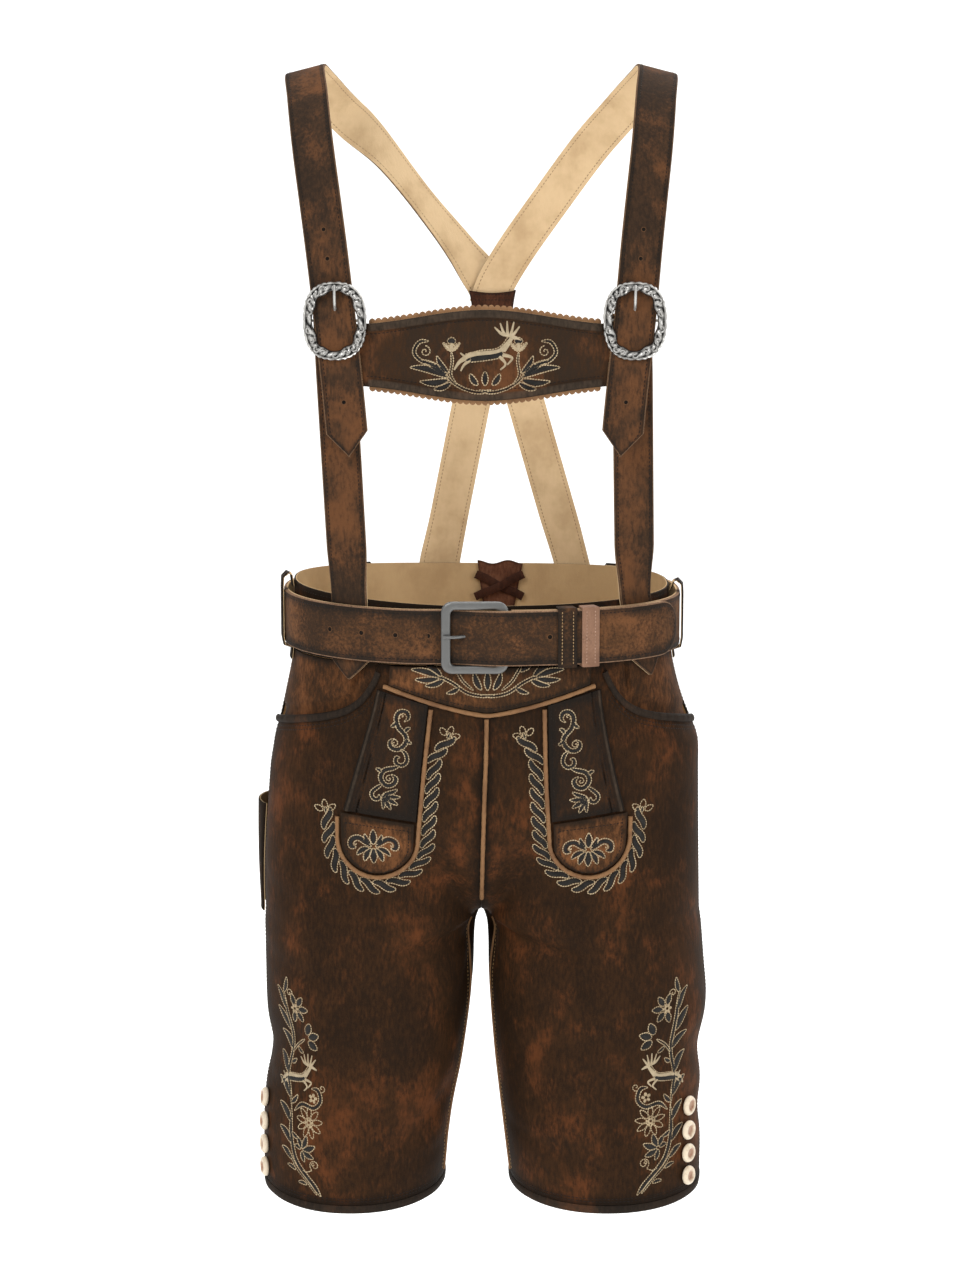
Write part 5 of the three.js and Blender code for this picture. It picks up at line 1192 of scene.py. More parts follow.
def lower_place(back, foot, waist, top, width):
    def centre_x(z):
        return np.where(z < BELT_TOP, blend(foot, waist, (z - FOOT_Z) / (BELT_TOP - FOOT_Z)),
                        blend(waist, top[0], (z - BELT_TOP) / (top[2] - BELT_TOP)))

    def bent(aside, z, lift):
        x = centre_x(z)
        height = np.minimum(z, BELT_TOP)
        if back:
            side = np.where(np.abs(x) < 17, np.sign(waist), np.sign(x))
            turn, around = -side, 1 - np.abs(x - read(SWAY, z)[1]) / BACK_ARC / 2
        else:
            side, around = front_around(x, WAIST_Z + 0 * x)
            turn = side
        point = skin(side, around + turn * aside / WAIST_AROUND, height, lift + ON_PANEL)
        point[..., 2] = z
        return point

    start = bent(np.array([0.0]), np.array([float(BELT_TOP)]), np.array([0.0]))[0]

    def place(across, z, lift):
        lift = lift + 0 * z
        pointed = np.interp(z, [FOOT_Z, FOOT_Z + 7, FOOT_Z + 15], [0.04, 0.5, 1.0])
        aside = across * width / 2 * pointed
        t = np.clip((z - BELT_TOP) / (top[2] - BELT_TOP), 0, 1)
        middle = start + (np.array(top, float) - start) * t[..., None]
        middle[..., 1] = blend(start[1], top[1], np.minimum(t * 1.25, 1))
        flat = middle + np.stack([aside, (1 if back else -1) * lift, 0 * z], -1)
        return blend(bent(aside, z, lift), flat, between(z, BELT_TOP, 75)[..., None])
    return place


lower_at = {}
for node, back, foot, waist, top in LOWER:
    place = lower_place(back, foot, waist, top, STRAP["rear"] if back else STRAP["width"] - 1)
    lower_at[node] = place
    point = np.array([0, 0.4, 0.9, 1.6, 2.6, 3.8, 5, 6, 7, 8, 9.5, 11.5, 13.5, 15])
    heights = np.concatenate([FOOT_Z + point, np.linspace(FOOT_Z + 16, top[2], 100)])
    strap = shell(node + "_strap", place, crowded(18, 0.02, -1, 1), heights, 0, STRAP["thick"], 0.9,
                  node=node)
    dress(strap, STRAP_LEATHER, "hide", flat=(0.033, 0.3), held="stretched", rests_on=["waistband_front"])

CROSS_X, CROSS_Y = 9, 116
PATCH_HIDE = rubbed_leather("dark_patch_leather", (0.052, 0.021, 0.012), (0.085, 0.034, 0.019),
                            (0.02, 0.01, 0.007), 2.5, 0.5, lined=False)
for node, y in [("back_patch_inner", CROSS_Y - 2.4), ("back_patch_outer", CROSS_Y + 7.6)]:
    def patch_place(p, q, lift, y=y):
        half = 20 - 3 * np.sin(math.pi * q)
        sag = 2 * np.sin(math.pi * p)
        z = blend(214, 262, q) + np.where(q > 0.5, -sag, sag) * np.abs(2 * q - 1)
        return np.stack([CROSS_X + blend(-half, half, p), y + lift + 0 * z, z], -1)
    patch = shell(node + "_leather", patch_place, crowded(22, 0.02), crowded(26, 0.02), 0, 2, 0.6, node=node)
    dress(patch, PATCH_HIDE, "rust", flat=(0.04, 0.048), held="stretched", rests_on=["brace_upper_right"])

# ---- Chest bar ----
# The cross piece between the braces is dark leather with thick rolled edges, and a pinked tan trim
# stands out from under it above and below.
BAR = {"half": 103, "y": -119.9, "thick": 2.6, "end": 24, "mid": 35.3, "z": 226.2, "x": 2.3}


def bar_half(t):
    return blend(BAR["mid"], BAR["end"], between(np.abs(t), 0, 1))


def bar_y(t):
    return BAR["y"] - 3 * (1 - t * t)


def bar_ridge(t, q):
    inset = bar_half(t) * (1 - np.abs(2 * q - 1))
    return np.sqrt(np.maximum(1 - ((inset - 3.3) / 3.5) ** 2, 0)) * between(np.abs(t), 0.9, 0.87)


def bar_place(t, q, lift):
    half = bar_half(t)
    z = blend(-half, half, q)
    inset = half - np.abs(z)
    roll = 2.5 * bar_ridge(t, q) * (lift > 0)
    pillow = 0.5 * between(inset, 6.6, 16) * (lift > 0)
    return np.stack([BAR["half"] * t + BAR["x"], bar_y(t) - lift - roll - pillow, BAR["z"] + z], -1)


rolled = np.linspace(0, 0.12, 18)
# The rolled edges carry a painted highlight through the ridge attribute.
bar = shell("chest_bar_leather", bar_place, crowded(100, 0.004, -1, 1),
            np.concatenate([rolled, crowded(30, 0.003, 0.125, 0.875), 0.88 + rolled]),
            0, BAR["thick"], 0.5, node="chest_bar", ridge=bar_ridge)
BAR_LEATHER = rubbed_leather("chest_bar_leather", (0.040, 0.0195, 0.0095), (0.105, 0.042, 0.0175),
                             (0.022, 0.016, 0.0115), 7.5, 0.55)
dress(bar, BAR_LEATHER, "hide",
      flat=(0.21, 0.072), area=0.0138, held="stretched", rests_on=["brace_lower_right", "brace_lower_left"])
TRIM_TAN = plain_hide("pinked_tan_trim", (0.25, 0.132, 0.06), (0.17, 0.085, 0.038), (0.08, 0.038, 0.02))
for word, up in [("upper", 1), ("lower", -1)]:
    x = np.linspace(-90, 90, 37 * 12 + 1)
    t = x / BAR["half"]
    tooth = np.abs(np.sin(np.linspace(0, 37 * math.pi, len(x)))) ** 0.7
    inner = bar_half(t) - 1.5
    outer = bar_half(t) + 1.9 + 1.8 * tooth
    line = [(inner, 0.3), (inner, 1.4), (outer - 0.4, 1.4), (outer, 1.1), (outer, 0.3), (outer - 0.4, 0)]
    trim = np.stack([np.stack([x + BAR["x"], bar_y(t) + 0.9 - h, BAR["z"] + up * z], -1) for z, h in line], 1)
    dress(loops_mesh(f"chest_bar_trim_{word}_edge", trim, replaces=[f"chest_bar_trim_{word}"]),
          TRIM_TAN, "piping")

# ---- Seams ----
# Waxed thread lies on the leather as small seeds: dark on the breeches, belt and straps, pale on
# their linings, and tan and pink on the keepers. A tan welt shows in the inseam of each leg, and a
# cord fills each gap between panels.
SEED = [(0.0, 0.0), (0.14, 0.75), (0.5, 1.0), (0.86, 0.75), (1.0, 0.0)]
SEED_FACES = np.array([[0, 1 + (j + 1) % 4, 1 + j, 1 + j] for j in range(4)]
                      + [[1 + 4 * r + j, 1 + 4 * r + (j + 1) % 4, 5 + 4 * r + (j + 1) % 4, 5 + 4 * r + j]
                         for r in range(2) for j in range(4)]
                      + [[9 + j, 9 + (j + 1) % 4, 13, 13] for j in range(4)])


def thread_look(name, light, dark, rough=0.62):
    look, place, shader = start_look(name)
    fibre = noise(place, 2600, 2, 0.5)
    soil = noise(place, 130, 4, 0.6)
    colour = ((fibre * 0.5 + soil * 0.65).step(0.46, 0.74)).mix(dark, light)
    finish_look(shader, colour, rough, fibre, 0.00012)
    shader.inputs["Specular IOR Level"].default_value = 0.12
    return look


CREAM = thread_look("cream_silk", (0.58, 0.46, 0.29), (0.30, 0.22, 0.13), 0.55)
DARK = thread_look("dark_waxed_thread", (0.016, 0.011, 0.008), (0.007, 0.005, 0.004))
TAN = thread_look("tan_linen_thread", (0.44, 0.29, 0.14), (0.24, 0.14, 0.065))
PINK_THREAD = thread_look("pale_pink_thread", (0.44, 0.285, 0.205), (0.26, 0.155, 0.105))


def seeds(name, starts, ends, outs, wide, tall, look, slot="hide"):
    """Many stitches as one mesh: each is a slim seed from start to end, standing off along out."""
    starts, ends, outs = (np.concatenate(part) for part in (starts, ends, outs))
    along_it = unit(ends - starts)
    across = np.cross(along_it, outs)
    parts = []
    for t, swell in SEED:
        middle = blend(starts, ends, t)
        if swell == 0:
            parts.append((middle - outs * 0.12)[:, None])
        else:
            parts.append(np.stack([middle + across * wide / 2 * swell, middle + outs * tall * swell,
                                   middle - across * wide / 2 * swell, middle - outs * 0.25 * swell], 1))
    points = np.concatenate(parts, 1).reshape(-1, 3)
    faces = (SEED_FACES[None] + 14 * np.arange(len(starts))[:, None, None]).reshape(-1, 4)
    faces = [face[:3] if face[2] == face[3] else face for face in faces.tolist()]
    dress(mesh_piece(name, points, outward_faces(points, faces), smooth_angle=80), look, slot)


def sewn(rows, pitch=3.3, gap=0.95, skew=0.0):
    """Starts, ends and outs of the stitches along rows of dense (spots, outs)."""
    starts, ends, outs = [], [], []
    for spots, out in rows:
        places, length = arc_steps(spots, pitch)
        knots, up = along(spots, places), unit(along(out, places))
        way = unit(knots[1:] - knots[:-1])
        up = unit(up[1:] + up[:-1])
        aside = np.cross(way, up) * skew
        starts.append(knots[:-1] + way * gap / 2 + aside)
        ends.append(knots[1:] - way * gap / 2 - aside)
        outs.append(up)
    return starts, ends, outs


def surface_of(*pieces):
    """One search tree of the pieces' faces, in millimetres."""
    points, faces = [], []
    for piece in pieces:
        start = len(points)
        points += [vertex.co * 1000 for vertex in piece.data.vertices]
        faces += [[start + corner for corner in face.vertices] for face in piece.data.polygons]
    return BVHTree.FromPolygons(points, faces)


def settle(tree, outside, inside):
    """Where the lines from outside to inside first meet the leather, and the way out there."""
    spots, outs = np.array(inside, float), unit(outside - inside)
    for k, (start, way) in enumerate(zip(outside, -outs)):
        hit = tree.ray_cast(start, way, 30)
        if hit[0] is not None:
            spots[k] = hit[0]
            if np.dot(hit[1], outs[k]) > 0.5:
                outs[k] = hit[1]
    return spots, outs


def rows_on(place, across, down, lift):
    """Rows laid straight on a piece's own place(): spots and outs."""
    across, down = np.broadcast_arrays(np.asarray(across, float), np.asarray(down, float))
    spots = place(across, down, lift + 0 * across)
    return spots, unit(place(across, down, lift + 1 + 0 * across) - spots)


def rows_inside(place, across, down, lift=-1.04):
    """The same on the inner side, where the thread stands off the other way."""
    spots, outs = rows_on(place, across, down, lift)
    return spots + outs, -outs


body = surface_of(*panels)


def skin_row(side, around, z):
    return settle(body, skin(side, around, z, 12), skin(side, around, z, -3))


dark_rows = []
for side in (-1, 1):
    a = np.linspace(MOUTH["start"][side] + 0.02, 0.493, 160)
    slope = np.gradient(mouth_z(side, a), a * AROUND)
    down = unit(np.stack([slope, -np.ones_like(slope)], -1))
    for d in (9.4, 12.6):
        around = np.minimum(a + down[:, 0] * d / AROUND, 0.495)
        dark_rows.append(skin_row(side, around, mouth_z(side, a) + down[:, 1] * d))
    a = np.linspace(0.012, 0.988, 500)
    dark_rows.append(skin_row(side, a, hem_z(a) + 3.2))
    dark_rows.append(skin_row(side, a, hem_z(a) + 5.6))
    for around, high, low, count in [(0.5 - 4 / AROUND, -100, -468, 240),
                                     (0.5 + 4 / AROUND, -26, -468, 280),
                                     (1 - 4.5 / AROUND, -26, -240, 140)]:
        z = np.linspace(high, low, count)
        dark_rows.append(skin_row(side, around + 0 * z, z))
seeds("panel_seam_threads", *sewn(dark_rows), 0.8, 0.35, DARK)
z = np.linspace(-258, -468, 150)
tan_rows = [skin_row(side, 27 / AROUND + 0 * z, z) for side in (-1, 1)]
seeds("inseam_threads", *sewn(tan_rows), 0.7, 0.3, TAN)
for side in (-1, 1):
    z = np.linspace(-254, -470, 110)
    spots, out = skin_row(side, 20 / AROUND + 0 * z, z)
    across = unit(np.cross(np.gradient(spots, axis=0), out))
    loops = np.stack([spots + across * a * 1.7 + out * h for a, h in
                      [(-1, -0.3), (-0.85, 0.6), (-0.4, 1.2), (0.4, 1.2), (0.85, 0.6), (1, -0.3)]], 1)
    dress(loops_mesh(f"inseam_welt_{WORD[side]}", loops), PIPING, "piping")

for name, around, high in (("front", 0.0, -60), ("back", 1.0, -24)):
    z = np.linspace(high, CROTCH - 1, 60)
    spots = (skin(-1, around + 0 * z, z, -1.1) + skin(1, around + 0 * z, z, -1.1)) / 2
    rod(f"rise_seam_cord_{name}", spots, 0.8 + 0 * z, LIP, "hide", sides=8)
for side in (-1, 1):
    for name, around, high in (("side", 0.5, 28), ("inner", 0.0, CROTCH - 2)):
        z = np.linspace(high, HEM["side"], 70)
        spots = skin(side, around + 0 * z, z, -1.1)
        rod(f"{name}_seam_cord_{WORD[side]}", spots, 0.8 + 0 * z, LIP, "hide", sides=8)

flap_rows = []
for side in (-1, 1):
    place = strip_place(side)
    q = np.linspace(0.03, 0.985, 160)
    for share in (0.80, 0.862):
        flap_rows.append(rows_on(place, share, q, ON_PANEL + 1.42))
    flap_rows.append(rows_on(place, 0.055, np.linspace(0.04, 0.96, 160), ON_PANEL + 1.42))
    flap_rows.append(rows_on(place, np.linspace(0.05, 0.88, 80), 0.965, ON_PANEL + 1.42))
    place = tab_place(side)
    q = np.linspace(0.03, 0.93, 120)
    for p in (0.07, 0.93):
        flap_rows.append(rows_on(place, p, q, ON_PANEL + 1.72))
    flap_rows.append(rows_on(place, np.linspace(0.06, 0.94, 90), 0.045, ON_PANEL + 1.72))
flap_rows.append(rows_on(bib_place, np.linspace(0.02, 0.98, 240), 0.9, ON_PANEL + 1.62))
seeds("flap_seam_threads", *sewn(flap_rows, 3.0, 0.9), 0.75, 0.3, DARK)

belt_rows = []
share = np.linspace(0.004, 0.972, 700)
for q in (0.085, 0.915):
    belt_rows.append(rows_on(free_belt, share, q, BELT["thick"] + 0.05))
q = np.linspace(0.085, 0.915, 60)
tip_line = 0.972 + 0.0165 * np.sin(math.pi * (q - 0.085) / 0.83)
belt_rows.append(rows_on(free_belt, tip_line, q, BELT["thick"] + 0.05))
share = np.linspace(0.006, 0.994, 900)
for q in (0.085, 0.915):
    belt_rows.append(rows_on(rear_belt, share, q, BELT["thick"] + 0.02))
seeds("belt_seam_threads", *sewn(belt_rows, 3.4, 1.0), 0.8, 0.35, DARK)
z = np.linspace(BELT["low"] + 0.5, BELT["high"] - 0.5, 60)
for (node, x0, x1, _, _), inset, wide, tall, silk in zip(KEEPERS, (0.2, 0.25), (0.8, 1.1), (0.4, 0.5),
                                                         (TAN, PINK_THREAD)):
    rows = []
    for share in (inset, 1 - inset):
        around = blend(round_place(x0), round_place(x1), share)
        rows.append(rows_on(lambda a, z, lift: waist_around(1.0, a, z, lift), around, z, KEEPER_TOP + 1.52))
    seeds(node.replace("belt_", "") + "_threads", *sewn(rows, 2.7, 0.8), wide, tall, silk)

strap_rows, lining_rows = [], []
for side in (-1, 1):
    t = np.concatenate([np.linspace(0.0075, 0.03, 30), np.linspace(0.032, 0.995, 900)])
    for across in (-0.79, 0.79):
        strap_rows.append(rows_on(strap_at[side], across, t, STRAP["thick"] + 0.04))
        lining_rows.append(rows_inside(strap_at[side], across, t[60:]))
for node, back, foot, waist, top in LOWER:
    place = lower_at[node]
    z = np.linspace(FOOT_Z + 5.5, top[2] - 2, 400)
    for across in (-0.79, 0.79):
        strap_rows.append(rows_on(place, across, z, STRAP["thick"] + 0.04))
        lining_rows.append(rows_inside(place, across, z[z > 26]))
seeds("strap_seam_threads", *sewn(strap_rows, 3.3, 1.0), 0.75, 0.32, DARK)
LINEN = thread_look("pale_linen_thread", (0.36, 0.245, 0.135), (0.22, 0.14, 0.075))
seeds("strap_lining_threads", *sewn(lining_rows, 3.3, 1.0), 0.7, 0.3, LINEN)

bar_rows = []
t = np.linspace(-0.9, 0.9, 400)
for up in (-1, 1):
    q = 0.5 + up * (0.5 - 8.2 / (2 * bar_half(t)))
    bar_rows.append(rows_on(bar_place, t, q, BAR["thick"] + 0.03))
seeds("chest_bar_threads", *sewn(bar_rows, 3.1, 0.9), 0.75, 0.3, DARK)

band_rows = []
p = np.linspace(-0.497, 0.497, 700)
for share in (0.93, 0.09):
    band_rows.append(rows_on(front_band, p, share, 0.03))
seeds("waistband_threads", *sewn(band_rows), 0.75, 0.3, DARK)
seeds("waistband_lining_threads", *sewn([rows_inside(front_band, p, 0.93, -3.04)]), 0.7, 0.3, LINEN)


def patch_row(x, z, way):
    """A row on the outer patch (way 1) or the inner one (way -1)."""
    y = CROSS_Y + (9.64 if way > 0 else -2.44)
    x, y, z = np.broadcast_arrays(CROSS_X + x, y, z)
    return np.stack([x, y, z], -1), np.tile([0.0, way, 0.0], (len(x), 1))


patch_rows = [patch_row(s * 15.5, np.linspace(217.5, 258.5, 60), 1) for s in (-1, 1)]
for level in (217.5, 222, 254, 258.5):
    patch_rows += [patch_row(np.linspace(-15.5, 15.5, 40), level, way) for way in (1, -1)]
seeds("patch_threads", *sewn(patch_rows, 2.8, 0.8), 0.7, 0.3, DARK)

# ---- Embroidery ----
# Chain-stitched outlines in cream silk round slate satin fillings: scrolls and tulips on the flap,
# corded ropes round it, a leaf garland on the bib, and a stag among flowers on bar and legs.
def bow(points, count=26):
    """A smooth flat curve through a few points."""
    return curve_through(np.array(points, float), np.linspace(0, 1, count))


def sides_of(line, half):
    """The two lines that run at half either side of a flat curve."""
    way = unit(np.gradient(line, axis=0))
    away = np.stack([-way[:, 1], way[:, 0]], -1) * np.reshape(half, (-1, 1))
    return line + away, line - away


def strand(design, spine, width, fill="slate"):
    """A closed chained outline at width either side of a spine, with satin inside it."""
    left, right = sides_of(spine, width)
    design["chain"].append(np.concatenate([left, right[::-1][1:]]))
    if fill and width.max() > 0.9:
        design[fill].append((spine[1:-1], np.maximum(width[1:-1] - 0.5, 0.25)))


def leaf(design, base, tip, half, bend=0.0, fill="slate"):
    """A pointed leaf with a full belly."""
    base, tip = np.array(base, float), np.array(tip, float)
    t = np.linspace(0, 1, 15)
    aside = unit(np.array([base[1] - tip[1], tip[0] - base[0]]))
    spine = base + (tip - base) * t[:, None] + aside * (bend * np.sin(math.pi * t))[:, None]
    strand(design, spine, half * np.sin(math.pi * t ** 0.85).clip(0) ** 0.75, fill)


def vine(design, points, half, fill="slate", count=34):
    """A stem of two chained lines with satin between them, closing to a point at both ends."""
    line = bow(points, count)
    t = np.linspace(0, 1, count)
    width = half * np.minimum(np.minimum(t / 0.16, (1 - t) / 0.16), 1) ** 0.7
    left, right = sides_of(line, width)
    design["chain"] += [left, right]
    if fill:
        design[fill].append((line[1:-1], np.maximum(width[1:-1] - 0.6, 0.2)))


def curl(design, centre, radius, start, turns=1.3, way=1):
    """A chained line that winds in to its centre."""
    t = np.linspace(0, 1, 30)
    angle = math.radians(start) + way * turns * 2 * math.pi * t
    reach = radius * (1 - 0.85 * t)
    wound = np.stack([reach * np.cos(angle), reach * np.sin(angle)], -1)
    design["chain"].append(np.array(centre) + wound)


def flower(design, centre, radius, petals, start=0.0, half=None, spread=360.0, fill=None):
    for k in range(petals):
        angle = math.radians(start + spread * (k / petals if spread == 360 else k / (petals - 1)))
        way = np.array([math.cos(angle), math.sin(angle)])
        leaf(design, centre + way * radius * 0.24, centre + way * radius, half or radius * 0.2, 0, fill)


def new_design():
    return {"chain": [], "slate": [], "cream": []}


def embroider(name, design, lay, pitch=2.1, wide=0.95, tall=0.5):
    """Sews a flat design through lay(flat points), which gives spots and outs on the leather."""
    routes = [lay(line[np.concatenate([[True], np.linalg.norm(np.diff(line, axis=0), axis=-1) > 1e-6])])
              for line in design["chain"]]
    seeds(name + "_chain", *sewn(routes, pitch, 0.1, 0.12), wide, tall, CREAM)
    for silk in ("slate", "cream"):
        if not design[silk]:
            continue
        grids, faces, runs, count = [], [], [], 0
        for spine, half in design[silk]:
            left, right = sides_of(spine, half)
            rows = [blend(left, right, s) for s in (0, 0.2, 0.5, 0.8, 1)]
            spots, outs = lay(np.stack(rows, 1).reshape(-1, 2))
            lift = np.tile([-0.15, 0.32, 0.5, 0.32, -0.15], len(spine))
            grids.append(spots + outs * lift[:, None])
            index = np.arange(len(spots)).reshape(-1, 5) + count
            faces += quads(index)[:, ::-1].tolist()
            steps = np.linalg.norm(np.diff(spine, axis=0), axis=-1)
            runs.append(np.repeat(np.concatenate([[0], np.cumsum(steps)]), 5))
            count += len(spots)
        satin = mesh_piece(f"{name}_{silk}_satin", np.concatenate(grids), faces, run=np.concatenate(runs))
        dress(satin, SATIN[silk], "hide")


def satin_look(name, light, dark):
    """Smooth parallel silk: fine ridges across the leaf from the run along it, bumped and also painted into
    the colour as light and dark stripes, a painted shade between the threads.
    """
    look, place, shader = start_look(name)
    ridge = place.math("SINE", attribute(place, "run") * 11.5)
    soil = noise(place, 170, 3, 0.6)
    # The ridge term paints shade between the silk threads as stripes; the soil noise is the silk's own uneven
    # tone.
    colour = (ridge * 0.22 + soil * 0.8).step(0.1, 0.75).mix(dark, light)
    finish_look(shader, colour, 0.5, ridge, 0.00012)
    shader.inputs["Specular IOR Level"].default_value = 0.08
    return look


SATIN = {"slate": satin_look("slate_satin", (0.036, 0.0335, 0.031), (0.0125, 0.0112, 0.010)),
         "cream": satin_look("cream_satin", (0.60, 0.49, 0.33), (0.34, 0.26, 0.16))}
flap_leather = [piece for piece in scene.objects
                if piece.name.startswith(("flap_", "chest_bar")) and piece.name.endswith("leather")]
flap_surface = surface_of(*panels, *flap_leather)


def lay_front(points):
    x, z = points.T
    return settle(flap_surface, front_at(x, z, 12), front_at(x, z, -3))


# Scrolls on the strips: an S-shaped stem with three curls, ending in a fan of leaves.
for side, top_x, top_z, lean in [(-1, 63.5, -64.5, 1.0), (1, 68.2, -65.0, 1.03)]:
    design = new_design()
    vine(design, [(-1.5, 3.5), (-5.2, 0.5), (-3.6, -4.8), (1.8, -4.8), (4.6, 0.4), (3.0, 8.4), (-2.4, 14.6),
                  (-3.2, 21), (2.2, 27), (8.6, 26.2), (9.8, 20.6), (5.8, 18.2)], 1.85)
    curl(design, (6.2, 22), 3.4, 270, 1.2, -1)
    curl(design, (0.0, -1.0), 2.7, 60, 1.1, -1)
    vine(design, [(1.5, 26.5), (-2.8, 31), (-3.6, 37.5), (0.6, 41.2), (5.2, 38.8), (4.6, 34.2),
                  (1.6, 34.4)], 1.5)
    vine(design, [(1.5, 41), (7.0, 43.6), (14.6, 46), (17.4, 52.6), (13.2, 58.8), (7.2, 57.6), (5.2, 52.4),
                  (9.0, 49)], 1.85)
    curl(design, (10.6, 52.8), 3.2, 250, 1.2, 1)
    vine(design, [(15.6, 57.6), (20.4, 61.2), (24.8, 66), (22.8, 71.0), (18.6, 70.4), (19, 66.6)], 1.45)
    for tip, half, bend in [((3.4, 61.5), 1.8, -1.2), ((1.2, 68.4), 2.1, -1.2), ((3.2, 75.6), 2.2, -0.8),
                            ((9.0, 80.4), 2.1, -0.2), ((15.6, 80.2), 1.8, 0.6)]:
        leaf(design, (15.8, 66.4), tip, half, bend)
    for base, tip, half, bend in [((4.5, 3), (9.6, 8.2), 1.7, 1.4), ((-2.6, 13), (-7.2, 8.4), 1.6, 1.2),
                                  ((-3.2, 17.5), (-8.2, 22), 1.5, -1.2), ((16.6, 48), (21.6, 44.8), 1.6, -1)]:
        leaf(design, base, tip, half, bend)

    def lay_strip(points, side=side, top_x=top_x, top_z=top_z, lean=lean):
        x = side * (top_x + points[:, 0])
        return lay_front(np.stack([x, top_z - points[:, 1] * lean * 0.95], -1))
    embroider(f"strip_scroll_{WORD[side]}", design, lay_strip)

# Tulips on the tabs: a bud between two petals, a pair of wings that roll in at their ends, and a
# fan of five leaves hanging below.
for side, x, z in [(-1, -87.2, -171.5), (1, 85.6, -174.2)]:
    design = new_design()
    leaf(design, (0, 1.5), (0, 14.5), 2.9)
    leaf(design, (0, -1.5), (0, -15), 3.1)
    for s in (-1, 1):
        leaf(design, (s * 1.8, 1.8), (s * 6.8, 10.6), 2.0, -s * 1.4)
        vine(design, [(s * 1.6, -0.6), (s * 6.4, 3.4), (s * 12, 6.6), (s * 17.4, 4.4), (s * 17.8, -0.8),
                      (s * 13.6, -1.6)], 2.3)
        leaf(design, (s * 1.6, -1.8), (s * 7.4, -13.4), 2.5, s)
        leaf(design, (s * 3.2, -1.6), (s * 13.6, -8.4), 2.3, s * 1.6)
        curl(design, (s * 14.0, 1.6), 2.2, 90, 1.0, -s)

    def lay_tab(points, x=x, z=z):
        return lay_front(points + [x, z])
    embroider(f"tab_tulip_{WORD[side]}", design, lay_tab)

# Ropes: S-shaped strands laid one over the next outside the piping of each tab, between flowers
# of three petals.
ROPE_OFF = 7.6
for side in (-1, 1):
    design = new_design()
    down = np.linspace(-80, TAB["z"], 60)[:-1]
    turn = np.linspace(0, math.pi, 90)
    reach = TAB["round"] + ROPE_OFF
    up = np.linspace(TAB["z"], -146, 14)[1:]
    x = np.concatenate([read(PIPE_LINE, down)[0] - ROPE_OFF - 8.5 * between(down, -100, -80),
                        TAB["x"] - reach * np.cos(turn), TAB["x"] + reach + 2.5 * between(up, -160, -146)])
    z = np.concatenate([down, TAB["z"] - reach * np.sin(turn), up])
    line = np.stack([flap_x(side, x, z), z], -1)
    strands = int(round(arc_steps(line, 1)[1] / 11.5))
    knots = along(line, arc_steps(line, arc_steps(line, 1)[1] / (2 * strands) * 0.9999)[0])
    way = unit(np.gradient(knots, axis=0))
    aside = np.stack([-way[:, 1], way[:, 0]], -1) * side
    t = np.linspace(-1, 1, 17)[:, None]
    for k in range(1, len(knots) - 1, 2):
        spine = knots[k] + way[k] * 9.2 * t + aside[k] * 4.3 * np.tanh(2.3 * t)
        strand(design, spine, 2.75 * np.maximum(1 - t[:, 0] ** 2, 0) ** 0.45)
    for end, heading in [(knots[0], -way[0]), (knots[-1], way[-1])]:
        angle = math.degrees(math.atan2(heading[1], heading[0]))
        flower(design, end - heading * 0.5, 10.5, 3, angle - 58, 2.4, 116)
        leaf(design, end - heading * 1.5, end + heading * 4.4, 1.3)
    embroider(f"flap_rope_{WORD[side]}", design, lay_front)

# The bib's garland hangs out below the belt: two stems that cross, with leaves at both ends.
design = new_design()
for s in (-1, 1):
    vine(design, [(s * -6, -45.5), (s * 4, -46.5), (s * 16, -44), (s * 27, -36.5), (s * 36, -32),
                  (s * 44, -31)], 1.2)
    vine(design, [(s * 11, -42), (s * 19, -35), (s * 24, -27), (s * 27, -22)], 1.0)
    for base, tip, half, bend in [((38, -31.5), (61, -25.6), 2.6, 1.4), ((38, -32), (58, -33.6), 2.5, -1.2),
                                  ((34, -33), (50, -38.6), 2.3, -1.5), ((36, -31), (52, -20.5), 2.4, 1.6),
                                  ((22, -39), (33, -44.4), 1.9, -1.2), ((26, -27), (36, -22), 2.2, 1.2)]:
        leaf(design, (s * base[0], base[1]), (s * tip[0], tip[1]), half, bend * s)
    leaf(design, (s * 4.6, -41.6), (s * 10.6, -26.5), 2.5, -s * 1.4)
leaf(design, (0, -42.2), (0, -25.5), 2.7)


def lay_bib(points):
    return lay_front(points + [4.4, 0.6])


embroider("bib_garland", design, lay_bib)


